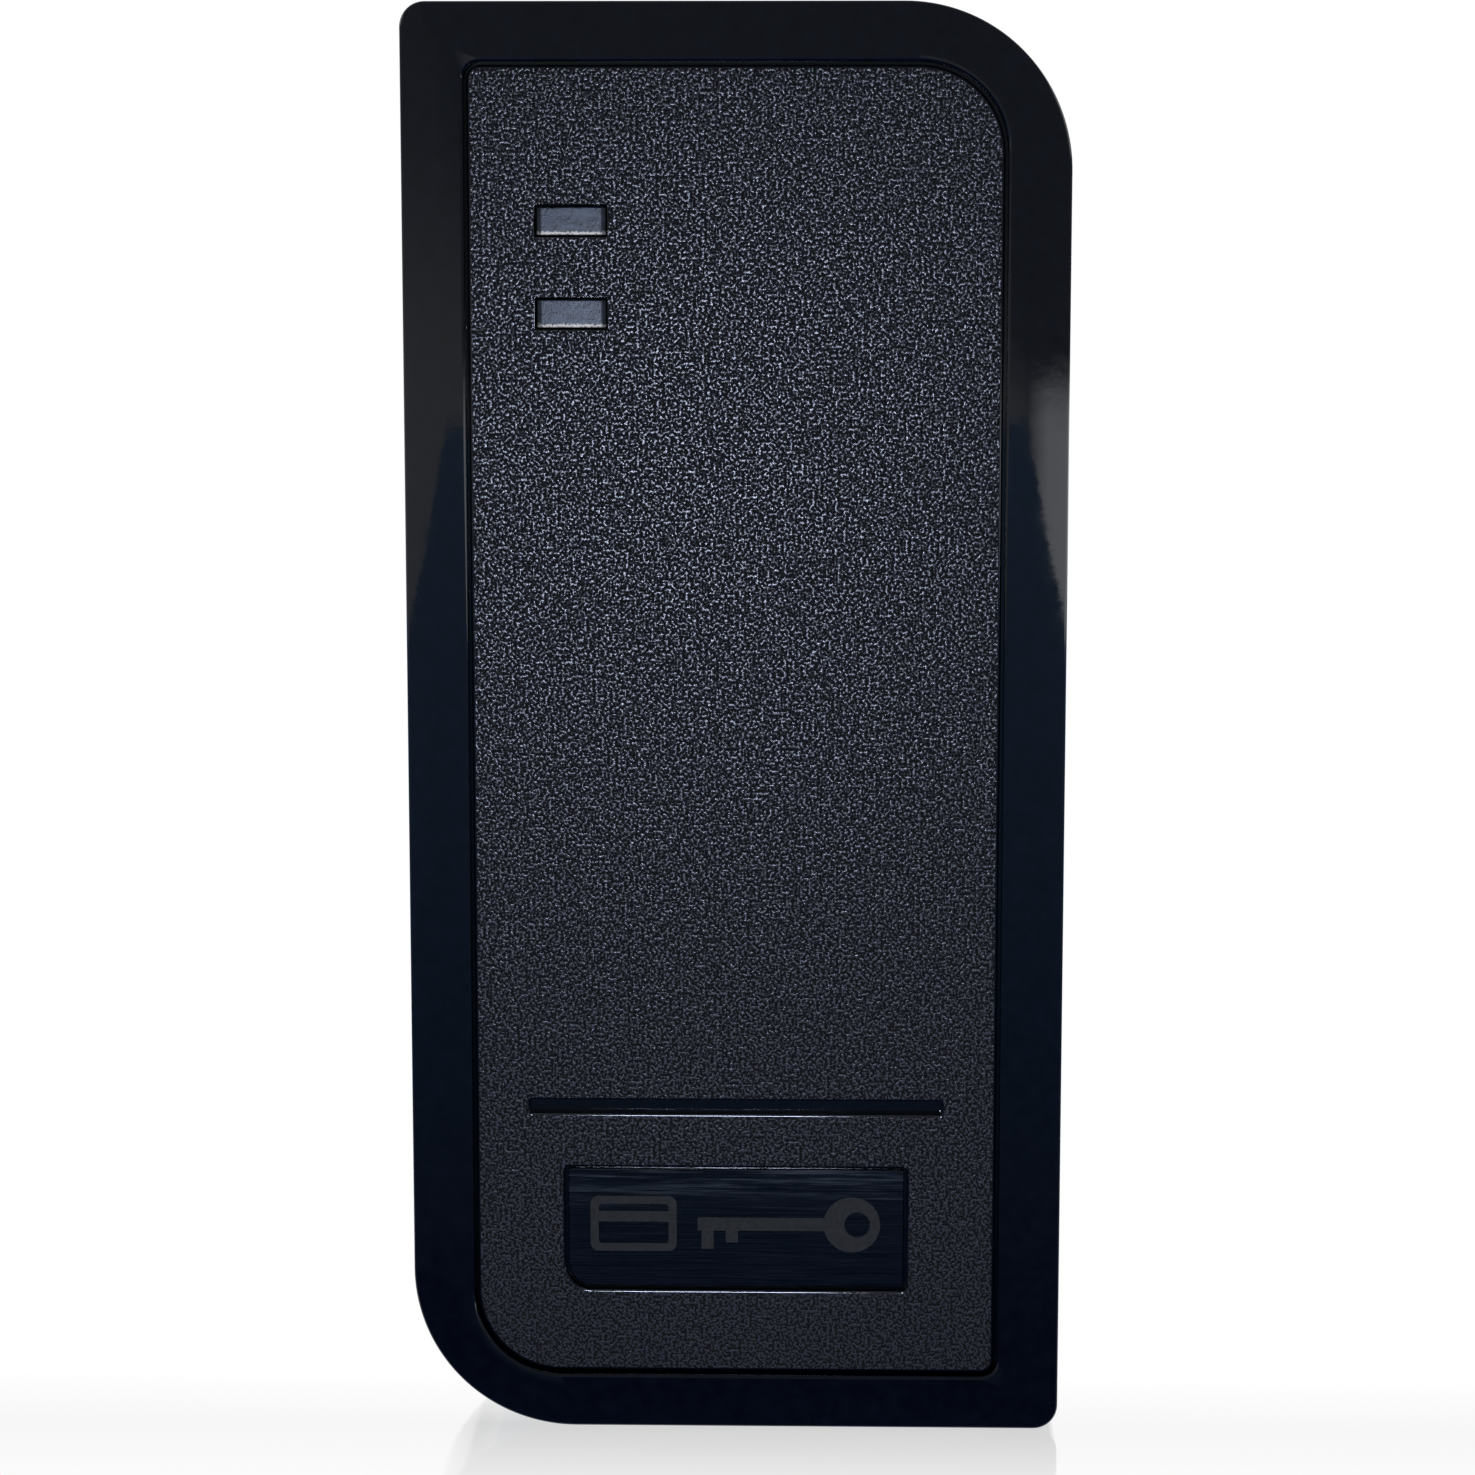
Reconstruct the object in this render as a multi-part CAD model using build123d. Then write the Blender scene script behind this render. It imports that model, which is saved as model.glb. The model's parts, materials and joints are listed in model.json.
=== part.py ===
from build123d import *
import os

# Slim wall-mounted proximity card reader, as an assembly of its real pieces. Millimetres.
# Every piece is drawn flat, with x to the right, y up and z out from the wall, and is turned
# into the object's own frame on export: +Z up, +Y into the wall, front face towards -Y.
# The origin is the middle of the wall plate's back face.

# Overall outline: two opposite corners are large arcs, the other two are nearly square.
WIDTH = 48.0
HEIGHT = 105.0
DEPTH = 17.5
LARGE_RADIUS = 12.0
SMALL_RADIUS = 1.8
LEAST_RADIUS = 0.3

# Shared clearances, and how far a cut runs past the surface that it opens.
CLEARANCE = 0.2
PAST = 1.0

# Front housing, levels counted out from the wall.
SKIRT_RIM = 0.3
SKIRT_WALL = 1.7
LEDGE_LEVEL = 5.5
CAVITY_WALL = 3.2
CAVITY_TOP = 13.6
POCKET_FLOOR = 15.5
EDGE_ROUNDING = 0.45
EDGE_STEP = 0.3
CROWN_WIDTH = 3.2
CROWN_DROP = 0.75
CROWN_STEPS = 4
LIP_ROUNDING = 0.4

# Textured face panel in the housing's front pocket.
PANEL_WIDTH = 38.4
PANEL_HEIGHT = 96.0
PANEL_LARGE_RADIUS = 6.25
PANEL_SMALL_RADIUS = 1.0
PANEL_GAP = 0.2
PANEL_BACK = 15.65
PANEL_FRONT = 17.15
PANEL_RIM_ROUNDING = 0.25
STAKE_RADIUS = 0.9
STAKE_HOLE_RADIUS = 1.05
STAKE_END = 13.7
STAKE_POINTS = [(-16, 12), (16, 12), (-16, -18), (16, -18), (0, 44), (0, -38)]

# Indicator lamps, behind two windows at the upper left.
LED_X = -11.8
LED_UPPER_Y = 37.0
LED_LOWER_Y = 30.4
LED_WIDTH = 5.0
LED_HEIGHT = 2.0
LED_FRONT = 16.6
LED_BACK = 10.2
WINDOW_WIDTH = 5.2
WINDOW_HEIGHT = 2.3
LED_ROUNDING = 0.12
HOLDER_WALL = 0.7
LEAD_PITCH = 2.54
LEAD_SIDE = 0.5
LEAD_TAIL = 7.0
LEAD_SHOULDER_LEVEL = 12.0
ANVIL_WIDTH = 1.7
ANVIL_SHIFT = 0.45
ANVIL_TOP = 14.6
CUP_SHIFT = 0.8
CUP_DEPTH = 0.4
CUP_RADIUS = 0.22
CUP_FLOOR_RADIUS = 0.05
POST_WIDTH = 0.8
POST_SHIFT = 0.1
POST_TOP = 14.4

# Groove and recessed nameplate below the middle.
GROOVE_LENGTH = 30.4
GROOVE_WIDTH = 1.05
GROOVE_DEPTH = 0.85
GROOVE_Y = -27.85
RECESS_WIDTH = 25.3
RECESS_HEIGHT = 9.4
RECESS_DEPTH = 0.9
RECESS_Y = -37.1
RECESS_LARGE_RADIUS = 2.0
RECESS_SMALL_RADIUS = 0.4
PLATE_GAP = 0.2
PLATE_THICKNESS = 0.45
PLATE_ADHESIVE = 0.1
PLATE_ROUNDING = 0.12
TAPE_INSET = 0.8
TAPE_WIDTH = 2.2

# Circuit board.
BOARD_WIDTH = 40.2
BOARD_HEIGHT = 84.0
BOARD_Y = 0.5
BOARD_CORNER = 1.0
BOARD_BACK = 8.4
BOARD_FRONT = 10.0
BOARD_SCREW_POINTS = [(-17.8, 38.5), (17.8, 38.5), (-17.8, -37.5), (17.8, -37.5)]
BOARD_BOSS_RADIUS = 2.0
BOARD_HOLE_RADIUS = 1.1
BOARD_SCREW_RADIUS = 0.9
BOARD_SCREW_TIP = 13.4
BOARD_HEAD_RADIUS = 1.9
BOARD_HEAD_HEIGHT = 1.2
PILOT_RUN_OUT = 0.6

# Components on the front of the board: places are (x, y), sizes (across, up, tall).
CHIP_STANDOFF = 0.1
MCU_PLACE = (-6.0, -12.0)
MCU_SIZE = (7.0, 7.0, 1.4)
MCU_LEADS_A_SIDE = 12
MCU_LEAD_PITCH = 0.5
MCU_LEAD_WIDTH = 0.22
RF_PLACE = (6.5, 3.0)
RF_SIZE = (3.9, 9.9, 1.5)
RF_LEADS_A_SIDE = 7
RF_LEAD_PITCH = 1.27
RF_LEAD_WIDTH = 0.4
LEAD_THICKNESS = 0.15
LEAD_SHOULDER = 0.7
LEAD_DROP_RUN = 0.6
LEAD_FOOT = 1.0
REGULATOR_PLACE = (-8.0, 12.0)
REGULATOR_SIZE = (6.5, 3.5, 1.6)
CAPACITOR_PLACE = (6.5, -16.0)
CAPACITOR_SIZE = (4.3, 7.3, 2.8)
CRYSTAL_PLACE = (-6.0, -2.0)
CRYSTAL_SIZE = (5.0, 3.2, 1.1)
PASSIVE_LONG = 1.6
PASSIVE_SHORT = 0.8
PASSIVE_TALL = 0.5
PASSIVE_PITCH = 1.9
PASSIVE_ROWS = [(-9.0, -24.0), (-9.0, -22.1), (-9.0, -20.2), (-4.0, 17.0), (-14.0, 25.2)]
PASSIVES_A_ROW = 4
BUZZER_PLACE = (8.5, 34.0)
BUZZER_RADIUS = 4.5
BUZZER_TOP = 13.0
BUZZER_WALL = 0.6
BUZZER_MOUTH = 0.9
DIAPHRAGM_LEVEL = 12.1
DIAPHRAGM_THICKNESS = 0.1

# Wire socket on the back of the board.
HEADER_WIDTH = 13.5
HEADER_LENGTH = 5.4
HEADER_Y = 2.0
HEADER_BACK = 5.0
HEADER_WALL = 1.0
HEADER_MOUTH_LOW = 5.8
HEADER_MOUTH_HIGH = 7.6
HEADER_PINS = 8
HEADER_PITCH = 1.25
HEADER_PIN = 0.4
HEADER_PIN_LEVEL = 6.5
HEADER_BLADE = 5.6

# Antenna coil on its former.
COIL_Y = -6.0
FORMER_WIDTH = 36.0
FORMER_HEIGHT = 58.0
FORMER_RADIUS = 5.0
FORMER_WALL = 2.75
FORMER_BACK = 10.6
FORMER_FRONT = 13.0
FLANGE_THICKNESS = 0.4
WINDING_DEPTH = 1.8
WINDING_INSET = 0.3
PAD_SIZE = (2.0, 7.0)
PAD_REACH = 20.0

# Rear cover, gasket and the bay for the security screw.
COVER_BACK = 2.9
COVER_FRONT = 4.7
COVER_CLEARANCE = 0.2
GASKET_INNER = 3.1
COVER_SCREW_POINTS = [(-16.5, 45.0), (16.5, 45.0), (-16.5, -45.0), (16.5, -45.0)]
COVER_BOSS_RADIUS = 2.2
COVER_BOSS_END = 4.75
COVER_SCREW_RADIUS = 1.05
COVER_SCREW_TIP = 11.5
COVER_HEAD_RADIUS = 2.0
COVER_HEAD_HEIGHT = 1.0
HEAD_RELIEF = 0.8
HEAD_RELIEF_GROWTH = 0.3
PILOT_CLEARANCE = 0.02
BAY_HALF_WIDTH = 6.5
BAY_BOTTOM = -49.9
BAY_TOP = -45.8
BAY_FRONT = 8.6
BAY_WALL = 1.2

# Wall plate.
PLATE_FRONT = 2.4
PLATE_INSET = 2.2
WALL_SCREW_PITCH = 83.3
SLOT_WIDTH = 4.2
SLOT_LENGTH = 5.5
HEAD_SLOT_WIDTH = 7.4
HEAD_SLOT_FLOOR = 1.1
CABLE_X = 0.0
CABLE_Y = -12.0
CABLE_OPENING_RADIUS = 8.0
TONGUE_WIDTH = 7.0
TONGUE_X = 8.0
TONGUE_BACK = 1.2
TONGUE_FRONT = 2.2
TONGUE_REACH = 1.3
TONGUE_END_GAP = 0.3
TONGUE_SIDE_GAP = 0.4
TAB_HALF_WIDTH = 4.0
TAB_BOTTOM = -49.5
TAB_TOP = -46.2
TAB_FRONT = 8.0

# Security screw, driven upwards through the bottom edge.
SECURITY_LEVEL = 5.2
SECURITY_RADIUS = 1.25
SECURITY_HEAD_RADIUS = 2.3
SECURITY_HEAD_HEIGHT = 1.4
SECURITY_SEAT = -51.0
SECURITY_TIP = -46.7
INSERT_RADIUS = 1.95
INSERT_LENGTH = 3.0
LOBE_CORE_RADIUS = 1.0
LOBE_REACH = 0.95
LOBE_RADIUS = 0.28
LOBE_DEPTH = 0.9
LOBE_COUNT = 6
CENTRE_PIN_RADIUS = 0.35
CENTRE_PIN_DROP = 0.1

# Cable grommet.
GROMMET_BORE = 3.0
GROMMET_SLEEVE = 4.5
GROMMET_FLANGE = 6.0
GROMMET_LIP = 1.0
GROMMET_ROUNDING = 0.4

# Tamper switch: a sprung plunger that feels the wall through the plate.
TAMPER_X = 12.0
TAMPER_Y = 24.0
TAMPER_WIDTH = 7.0
TAMPER_HEIGHT = 6.0
TAMPER_BACK = 5.0
TAMPER_GUIDE = 0.7
CHAMBER_RADIUS = 2.6
STEM_RADIUS = 1.5
STEM_CLEARANCE = 0.08
STEM_COVER_GAP = 0.4
STEM_PLATE_GAP = 0.7
STEM_TIP = 0.05
COLLAR_RADIUS = 2.3
COLLAR_BACK = 7.3
COLLAR_THICKNESS = 0.5
SPRING_BORE = 1.0
SPRING_SEAT = 3.6
SPRING_RADIUS = 0.8
SPRING_WIRE = 0.12
SPRING_TURNS = 9
SPRING_END_GAP = 0.03


def bar(x_size, y_size, low, high, x=0.0, y=0.0):
    """A block between two levels, centred on (x, y)."""
    return Pos(x, y, (low + high) / 2) * Box(x_size, y_size, high - low)


def disc(radius, low, high, x=0.0, y=0.0):
    """A round post between two levels."""
    return Pos(x, y, (low + high) / 2) * Cylinder(radius, high - low)


def slab(sketch, low, high):
    """A flat outline raised between two levels."""
    return extrude(Pos(0, 0, low) * sketch, amount=high - low)


def leaf(width, height, large, small):
    """A rectangle with large top-right and bottom-left corners, and small other ones."""
    sketch = Rectangle(width, height)
    across = sketch.vertices().sort_by(lambda v: v.X + v.Y)
    sketch = fillet([across[0], across[-1]], large)
    along = sketch.vertices().sort_by(lambda v: v.X - v.Y)
    return fillet([along[0], along[-1]], small)


def body_outline(inset):
    """The reader's outline, moved in from its edge."""
    small = max(SMALL_RADIUS - inset, LEAST_RADIUS)
    return leaf(WIDTH - 2 * inset, HEIGHT - 2 * inset, LARGE_RADIUS - inset, small)


def sealed_outline(inset):
    """The body outline with a notch round the security screw's bay."""
    grow = BAY_WALL + inset - SKIRT_WALL
    top = BAY_TOP + grow
    floor = -HEIGHT / 2
    notch = Pos(0, (top + floor) / 2) * Rectangle(2 * (BAY_HALF_WIDTH + grow), top - floor)
    return body_outline(inset) - notch


def panel_outline(grow):
    """The face panel's outline, moved out from its edge."""
    return leaf(
        PANEL_WIDTH + 2 * grow,
        PANEL_HEIGHT + 2 * grow,
        PANEL_LARGE_RADIUS + grow,
        PANEL_SMALL_RADIUS + grow,
    )


def windows(grow, low, high):
    """Both lamp windows as blocks to cut."""
    cuts = [
        bar(WINDOW_WIDTH + 2 * grow, WINDOW_HEIGHT + 2 * grow, low, high, LED_X, y)
        for y in (LED_UPPER_Y, LED_LOWER_Y)
    ]
    return cuts[0] + cuts[1]


def cross_recess(span, low, high, x, y):
    """A cross-head drive."""
    arm = span / 4
    return bar(span, arm, low, high, x, y) + bar(arm, span, low, high, x, y)


def screw_from_back(head_radius, head_height, radius, seat, tip, x, y):
    """A pan-head screw driven away from the wall, its cross recess towards the wall."""
    head = disc(head_radius, seat - head_height, seat, x, y)
    outer = head.edges().filter_by(GeomType.CIRCLE).group_by(Axis.Z)[0]
    head = fillet(outer, head_height / 3)
    head_back = seat - head_height
    head = head - cross_recess(head_radius, head_back, seat - head_height / 2, x, y)
    shank = disc(radius, seat, tip, x, y)
    point = chamfer(shank.edges().group_by(Axis.Z)[-1], radius / 2)
    return head + point


def crowned_body():
    """The housing's outer form: straight sides, a rounded edge and a crowned face."""
    steps = [(0.0, DEPTH - CROWN_DROP - EDGE_ROUNDING)]
    steps.append((EDGE_ROUNDING * EDGE_STEP, DEPTH - CROWN_DROP - EDGE_ROUNDING * EDGE_STEP))
    for step in range(CROWN_STEPS + 1):
        share = step / CROWN_STEPS
        inset = EDGE_ROUNDING + share * (CROWN_WIDTH - EDGE_ROUNDING)
        steps.append((inset, DEPTH - CROWN_DROP * (1 - share) ** 2))
    crown = loft([Pos(0, 0, level) * body_outline(inset) for inset, level in steps], ruled=True)
    return slab(body_outline(0), SKIRT_RIM, steps[0][1]) + crown


def front_housing():
    body = crowned_body()
    body = body - slab(panel_outline(PANEL_GAP), POCKET_FLOOR, DEPTH + PAST)
    lip = body.faces().sort_by(Axis.Z)[-1].inner_wires()[0].edges()
    body = fillet(lip, LIP_ROUNDING)
    body = body - slab(body_outline(SKIRT_WALL), SKIRT_RIM - PAST, COVER_BACK)
    body = body - slab(sealed_outline(SKIRT_WALL), COVER_BACK, LEDGE_LEVEL)
    cavity = slab(sealed_outline(CAVITY_WALL), LEDGE_LEVEL, CAVITY_TOP)
    for x, y in BOARD_SCREW_POINTS:
        cavity = cavity - disc(BOARD_BOSS_RADIUS, BOARD_FRONT, CAVITY_TOP, x, y)
    body = body - cavity
    for x, y in COVER_SCREW_POINTS:
        body = body + disc(COVER_BOSS_RADIUS, COVER_BOSS_END, CAVITY_TOP, x, y)
        pilot = COVER_SCREW_RADIUS + PILOT_CLEARANCE
        body = body - disc(pilot, 0, COVER_SCREW_TIP + PILOT_RUN_OUT, x, y)
    for x, y in BOARD_SCREW_POINTS:
        pilot = BOARD_SCREW_RADIUS + PILOT_CLEARANCE
        body = body - disc(pilot, 0, BOARD_SCREW_TIP + PILOT_RUN_OUT, x, y)
    for x, y in STAKE_POINTS:
        body = body - disc(STAKE_HOLE_RADIUS, CAVITY_TOP - PAST, POCKET_FLOOR + PAST, x, y)
    body = body - windows(CLEARANCE, CAVITY_TOP - PAST, POCKET_FLOOR + PAST)
    bay_height = BAY_TOP - BAY_BOTTOM
    bay_middle = (BAY_TOP + BAY_BOTTOM) / 2
    body = body - bar(2 * BAY_HALF_WIDTH, bay_height, SKIRT_RIM, BAY_FRONT, 0, bay_middle)
    for side in (-1, 1):
        body = body - tongue_slot(side)
    return body - security_bore()


def tongue_slot(side):
    """The pocket inside the top wall that one wall plate tongue hooks into."""
    inner = HEIGHT / 2 - SKIRT_WALL
    reach = HEIGHT / 2 - PLATE_INSET + TONGUE_REACH + TONGUE_END_GAP
    middle = (inner - PAST + reach) / 2
    width = TONGUE_WIDTH + 2 * TONGUE_SIDE_GAP
    low = TONGUE_BACK - CLEARANCE
    high = TONGUE_FRONT + CLEARANCE
    return bar(width, reach - inner + PAST, low, high, side * TONGUE_X, middle)


def upright(radius, low, high):
    """A round post along the security screw's axis, between two heights."""
    post = Pos(0, (low + high) / 2, SECURITY_LEVEL) * Rot(90, 0, 0)
    return post * Cylinder(radius, high - low)


def security_bore():
    """The counterbored hole through the bottom edge."""
    seat = upright(SECURITY_HEAD_RADIUS + CLEARANCE, -HEIGHT / 2 - PAST, SECURITY_SEAT)
    return seat + upright(SECURITY_RADIUS + CLEARANCE, SECURITY_SEAT, BAY_BOTTOM + PAST)


def face_panel():
    body = slab(panel_outline(0), PANEL_BACK, PANEL_FRONT)
    body = fillet(body.faces().sort_by(Axis.Z)[-1].outer_wire().edges(), PANEL_RIM_ROUNDING)
    body = body - windows(0, PANEL_BACK - PAST, PANEL_FRONT + PAST)
    groove_floor = PANEL_FRONT - GROOVE_DEPTH
    body = body - bar(GROOVE_LENGTH, GROOVE_WIDTH, groove_floor, PANEL_FRONT + PAST, 0, GROOVE_Y)
    recess = Pos(0, RECESS_Y) * nameplate_outline(0)
    body = body - slab(recess, PANEL_FRONT - RECESS_DEPTH, PANEL_FRONT + PAST)
    for x, y in STAKE_POINTS:
        body = body + disc(STAKE_RADIUS, STAKE_END, PANEL_BACK, x, y)
    return body


def nameplate_outline(inset):
    """The nameplate's outline: only its bottom-left corner is well rounded."""
    sketch = Rectangle(RECESS_WIDTH - 2 * inset, RECESS_HEIGHT - 2 * inset)
    corners = sketch.vertices().sort_by(lambda v: v.X + v.Y)
    small = max(RECESS_SMALL_RADIUS - inset, LEAST_RADIUS)
    sketch = fillet(corners[1:], small)
    corner = sketch.vertices().sort_by(lambda v: v.X + v.Y)[0]
    return fillet(corner, RECESS_LARGE_RADIUS - inset)


def nameplate():
    floor = PANEL_FRONT - RECESS_DEPTH + PLATE_ADHESIVE
    body = slab(Pos(0, RECESS_Y) * nameplate_outline(PLATE_GAP), floor, floor + PLATE_THICKNESS)
    return fillet(body.faces().sort_by(Axis.Z)[-1].outer_wire().edges(), PLATE_ROUNDING)


def nameplate_adhesive():
    floor = PANEL_FRONT - RECESS_DEPTH
    return slab(Pos(0, RECESS_Y) * nameplate_outline(3 * PLATE_GAP), floor, floor + PLATE_ADHESIVE)


def panel_adhesive():
    """A die-cut ring of tape under the panel's edge, with clearance for the stakes."""
    inner = 2 * (TAPE_INSET + TAPE_WIDTH)
    ring = panel_outline(-TAPE_INSET) - Rectangle(PANEL_WIDTH - inner, PANEL_HEIGHT - inner)
    body = slab(ring, POCKET_FLOOR, PANEL_BACK)
    for x, y in STAKE_POINTS:
        body = body - disc(STAKE_HOLE_RADIUS + CLEARANCE, POCKET_FLOOR, PANEL_BACK, x, y)
    return body


def lamp_frame(y):
    """One lamp's two lead frames: a wide anvil with a cup, and a slim post."""
    left = LED_X - LEAD_PITCH / 2
    right = LED_X + LEAD_PITCH / 2
    anvil = bar(LEAD_SIDE, LEAD_SIDE, LEAD_TAIL, LEAD_SHOULDER_LEVEL, left, y)
    anvil = anvil + bar(
        ANVIL_WIDTH, LEAD_SIDE, LEAD_SHOULDER_LEVEL, ANVIL_TOP, left + ANVIL_SHIFT, y
    )
    cup = Cone(CUP_FLOOR_RADIUS, CUP_RADIUS, CUP_DEPTH)
    anvil = anvil - Pos(left + CUP_SHIFT, y, ANVIL_TOP - CUP_DEPTH / 2) * cup
    post = bar(LEAD_SIDE, LEAD_SIDE, LEAD_TAIL, LEAD_SHOULDER_LEVEL, right, y)
    post = post + bar(POST_WIDTH, LEAD_SIDE, LEAD_SHOULDER_LEVEL, POST_TOP, right + POST_SHIFT, y)
    return [anvil, post]


def led_lead_frames():
    return Compound(lamp_frame(LED_UPPER_Y) + lamp_frame(LED_LOWER_Y))


def led_body(y):
    """A clear rectangular lamp moulded round its lead frames."""
    body = bar(LED_WIDTH, LED_HEIGHT, LED_BACK, LED_FRONT, LED_X, y)
    body = fillet(body.edges().filter_by(Axis.Z) + body.edges().group_by(Axis.Z)[-1], LED_ROUNDING)
    for frame in lamp_frame(y):
        body = body - frame
    return body


def led_holder():
    """A black shield that keeps the two lamps square and their light apart."""
    low = LED_LOWER_Y - WINDOW_HEIGHT / 2 - HOLDER_WALL
    high = LED_UPPER_Y + WINDOW_HEIGHT / 2 + HOLDER_WALL
    width = WINDOW_WIDTH + 2 * HOLDER_WALL
    body = bar(width, high - low, BOARD_FRONT, STAKE_END - CLEARANCE, LED_X, (low + high) / 2)
    return body - windows(0, BOARD_FRONT - PAST, CAVITY_TOP)


def pcb():
    board = Pos(0, BOARD_Y) * RectangleRounded(BOARD_WIDTH, BOARD_HEIGHT, BOARD_CORNER)
    body = slab(board, BOARD_BACK, BOARD_FRONT)
    for x, y in BOARD_SCREW_POINTS:
        body = body - disc(BOARD_HOLE_RADIUS, BOARD_BACK - PAST, BOARD_FRONT + PAST, x, y)
    for y in (LED_UPPER_Y, LED_LOWER_Y):
        for side in (-1, 1):
            x = LED_X + side * LEAD_PITCH / 2
            body = body - disc(LEAD_SIDE, BOARD_BACK - PAST, BOARD_FRONT + PAST, x, y)
    return body


def pcb_screws():
    head = (BOARD_HEAD_RADIUS, BOARD_HEAD_HEIGHT)
    shank = (BOARD_SCREW_RADIUS, BOARD_BACK, BOARD_SCREW_TIP)
    return Compound([screw_from_back(*head, *shank, x, y) for x, y in BOARD_SCREW_POINTS])


def ring_outline(outer_inset, inner_inset):
    """A rounded rectangular ring on the coil's middle."""
    outer = RectangleRounded(
        FORMER_WIDTH - 2 * outer_inset,
        FORMER_HEIGHT - 2 * outer_inset,
        FORMER_RADIUS - outer_inset,
    )
    inner = RectangleRounded(
        FORMER_WIDTH - 2 * inner_inset,
        FORMER_HEIGHT - 2 * inner_inset,
        FORMER_RADIUS - inner_inset,
    )
    return Pos(0, COIL_Y) * (outer - inner)


def coil_former():
    body = slab(ring_outline(0, FORMER_WALL), FORMER_BACK, FORMER_FRONT)
    channel_low = FORMER_BACK + FLANGE_THICKNESS
    channel_high = FORMER_FRONT - FLANGE_THICKNESS
    return body - slab(ring_outline(-PAST, WINDING_DEPTH), channel_low, channel_high)


def antenna_coil():
    channel_low = FORMER_BACK + FLANGE_THICKNESS
    channel_high = FORMER_FRONT - FLANGE_THICKNESS
    return slab(ring_outline(WINDING_INSET, WINDING_DEPTH), channel_low, channel_high)


def coil_foam_pads():
    reach = FORMER_WIDTH / 2 - FORMER_WALL / 2
    pads = [
        bar(*PAD_SIZE, BOARD_FRONT, FORMER_BACK, side * reach, COIL_Y + end * PAD_REACH)
        for side in (-1, 1)
        for end in (-1, 1)
    ]
    return Compound(pads)


def component(place, size, standoff=0.0):
    """A block standing on the front of the board."""
    low = BOARD_FRONT + standoff
    return bar(size[0], size[1], low, low + size[2], *place)


def microcontroller():
    return component(MCU_PLACE, MCU_SIZE, CHIP_STANDOFF)


def rf_front_end_chip():
    return component(RF_PLACE, RF_SIZE, CHIP_STANDOFF)


def gull_lead(x, y, width):
    """One chip lead leaving a body's right edge: shoulder, drop and foot."""
    shoulder_low = BOARD_FRONT + LEAD_SHOULDER
    shoulder_high = shoulder_low + LEAD_THICKNESS
    middle = x + LEAD_DROP_RUN / 2
    end = x + LEAD_DROP_RUN
    shoulder = bar(LEAD_DROP_RUN, width, shoulder_low, shoulder_high, middle, y)
    drop = bar(LEAD_THICKNESS, width, BOARD_FRONT, shoulder_high, end, y)
    foot_high = BOARD_FRONT + LEAD_THICKNESS
    foot = bar(LEAD_FOOT, width, BOARD_FRONT, foot_high, end + LEAD_FOOT / 2, y)
    return shoulder + drop + foot


def lead_row(place, reach, count, pitch, width, turn):
    """The leads along one side of a chip, turned about its middle."""
    middle = (count - 1) / 2
    spin = Pos(*place) * Rot(0, 0, turn)
    return [spin * gull_lead(reach, (i - middle) * pitch, width) for i in range(count)]


def ic_leads():
    leads = []
    for turn in (0, 90, 180, 270):
        reach = MCU_SIZE[0] / 2
        leads += lead_row(MCU_PLACE, reach, MCU_LEADS_A_SIDE, MCU_LEAD_PITCH, MCU_LEAD_WIDTH, turn)
    for turn in (0, 180):
        reach = RF_SIZE[0] / 2
        leads += lead_row(RF_PLACE, reach, RF_LEADS_A_SIDE, RF_LEAD_PITCH, RF_LEAD_WIDTH, turn)
    return Compound(leads)


def voltage_regulator():
    body = component(REGULATOR_PLACE, REGULATOR_SIZE)
    return chamfer(body.edges().group_by(Axis.Z)[-1], REGULATOR_SIZE[2] / 6)


def smoothing_capacitor():
    body = component(CAPACITOR_PLACE, CAPACITOR_SIZE)
    return chamfer(body.edges().group_by(Axis.Z)[-1], CAPACITOR_SIZE[2] / 10)


def crystal():
    body = component(CRYSTAL_PLACE, CRYSTAL_SIZE)
    return fillet(body.edges().filter_by(Axis.Z), CRYSTAL_SIZE[1] / 6)


def smd_passives():
    size = (PASSIVE_SHORT, PASSIVE_LONG, PASSIVE_TALL)
    parts = [
        component((x + column * PASSIVE_PITCH, y), size)
        for x, y in PASSIVE_ROWS
        for column in range(PASSIVES_A_ROW)
    ]
    return Compound(parts)


def buzzer_case():
    body = disc(BUZZER_RADIUS, BOARD_FRONT, BUZZER_TOP, *BUZZER_PLACE)
    body = fillet(body.edges().group_by(Axis.Z)[-1], BUZZER_WALL / 2)
    room = BUZZER_RADIUS - BUZZER_WALL
    body = body - disc(room, BOARD_FRONT + BUZZER_WALL, BUZZER_TOP - BUZZER_WALL, *BUZZER_PLACE)
    return body - disc(BUZZER_MOUTH, BUZZER_TOP - PAST, BUZZER_TOP + PAST, *BUZZER_PLACE)


def buzzer_diaphragm():
    high = DIAPHRAGM_LEVEL + DIAPHRAGM_THICKNESS
    return disc(BUZZER_RADIUS - BUZZER_WALL, DIAPHRAGM_LEVEL, high, *BUZZER_PLACE)


def header_pin(x):
    """One terminal: a blade in the socket, and a tail down to the board."""
    top = HEADER_PIN_LEVEL + HEADER_PIN
    tail_y = HEADER_Y + HEADER_LENGTH / 2 + 2 * HEADER_PIN
    blade_y = tail_y + HEADER_PIN / 2 - HEADER_BLADE / 2
    blade = bar(HEADER_PIN, HEADER_BLADE, HEADER_PIN_LEVEL, top, x, blade_y)
    return blade + bar(HEADER_PIN, HEADER_PIN, HEADER_PIN_LEVEL, BOARD_BACK, x, tail_y)


def header_pins():
    span = (HEADER_PINS - 1) / 2
    return Compound([header_pin((i - span) * HEADER_PITCH) for i in range(HEADER_PINS)])


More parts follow.
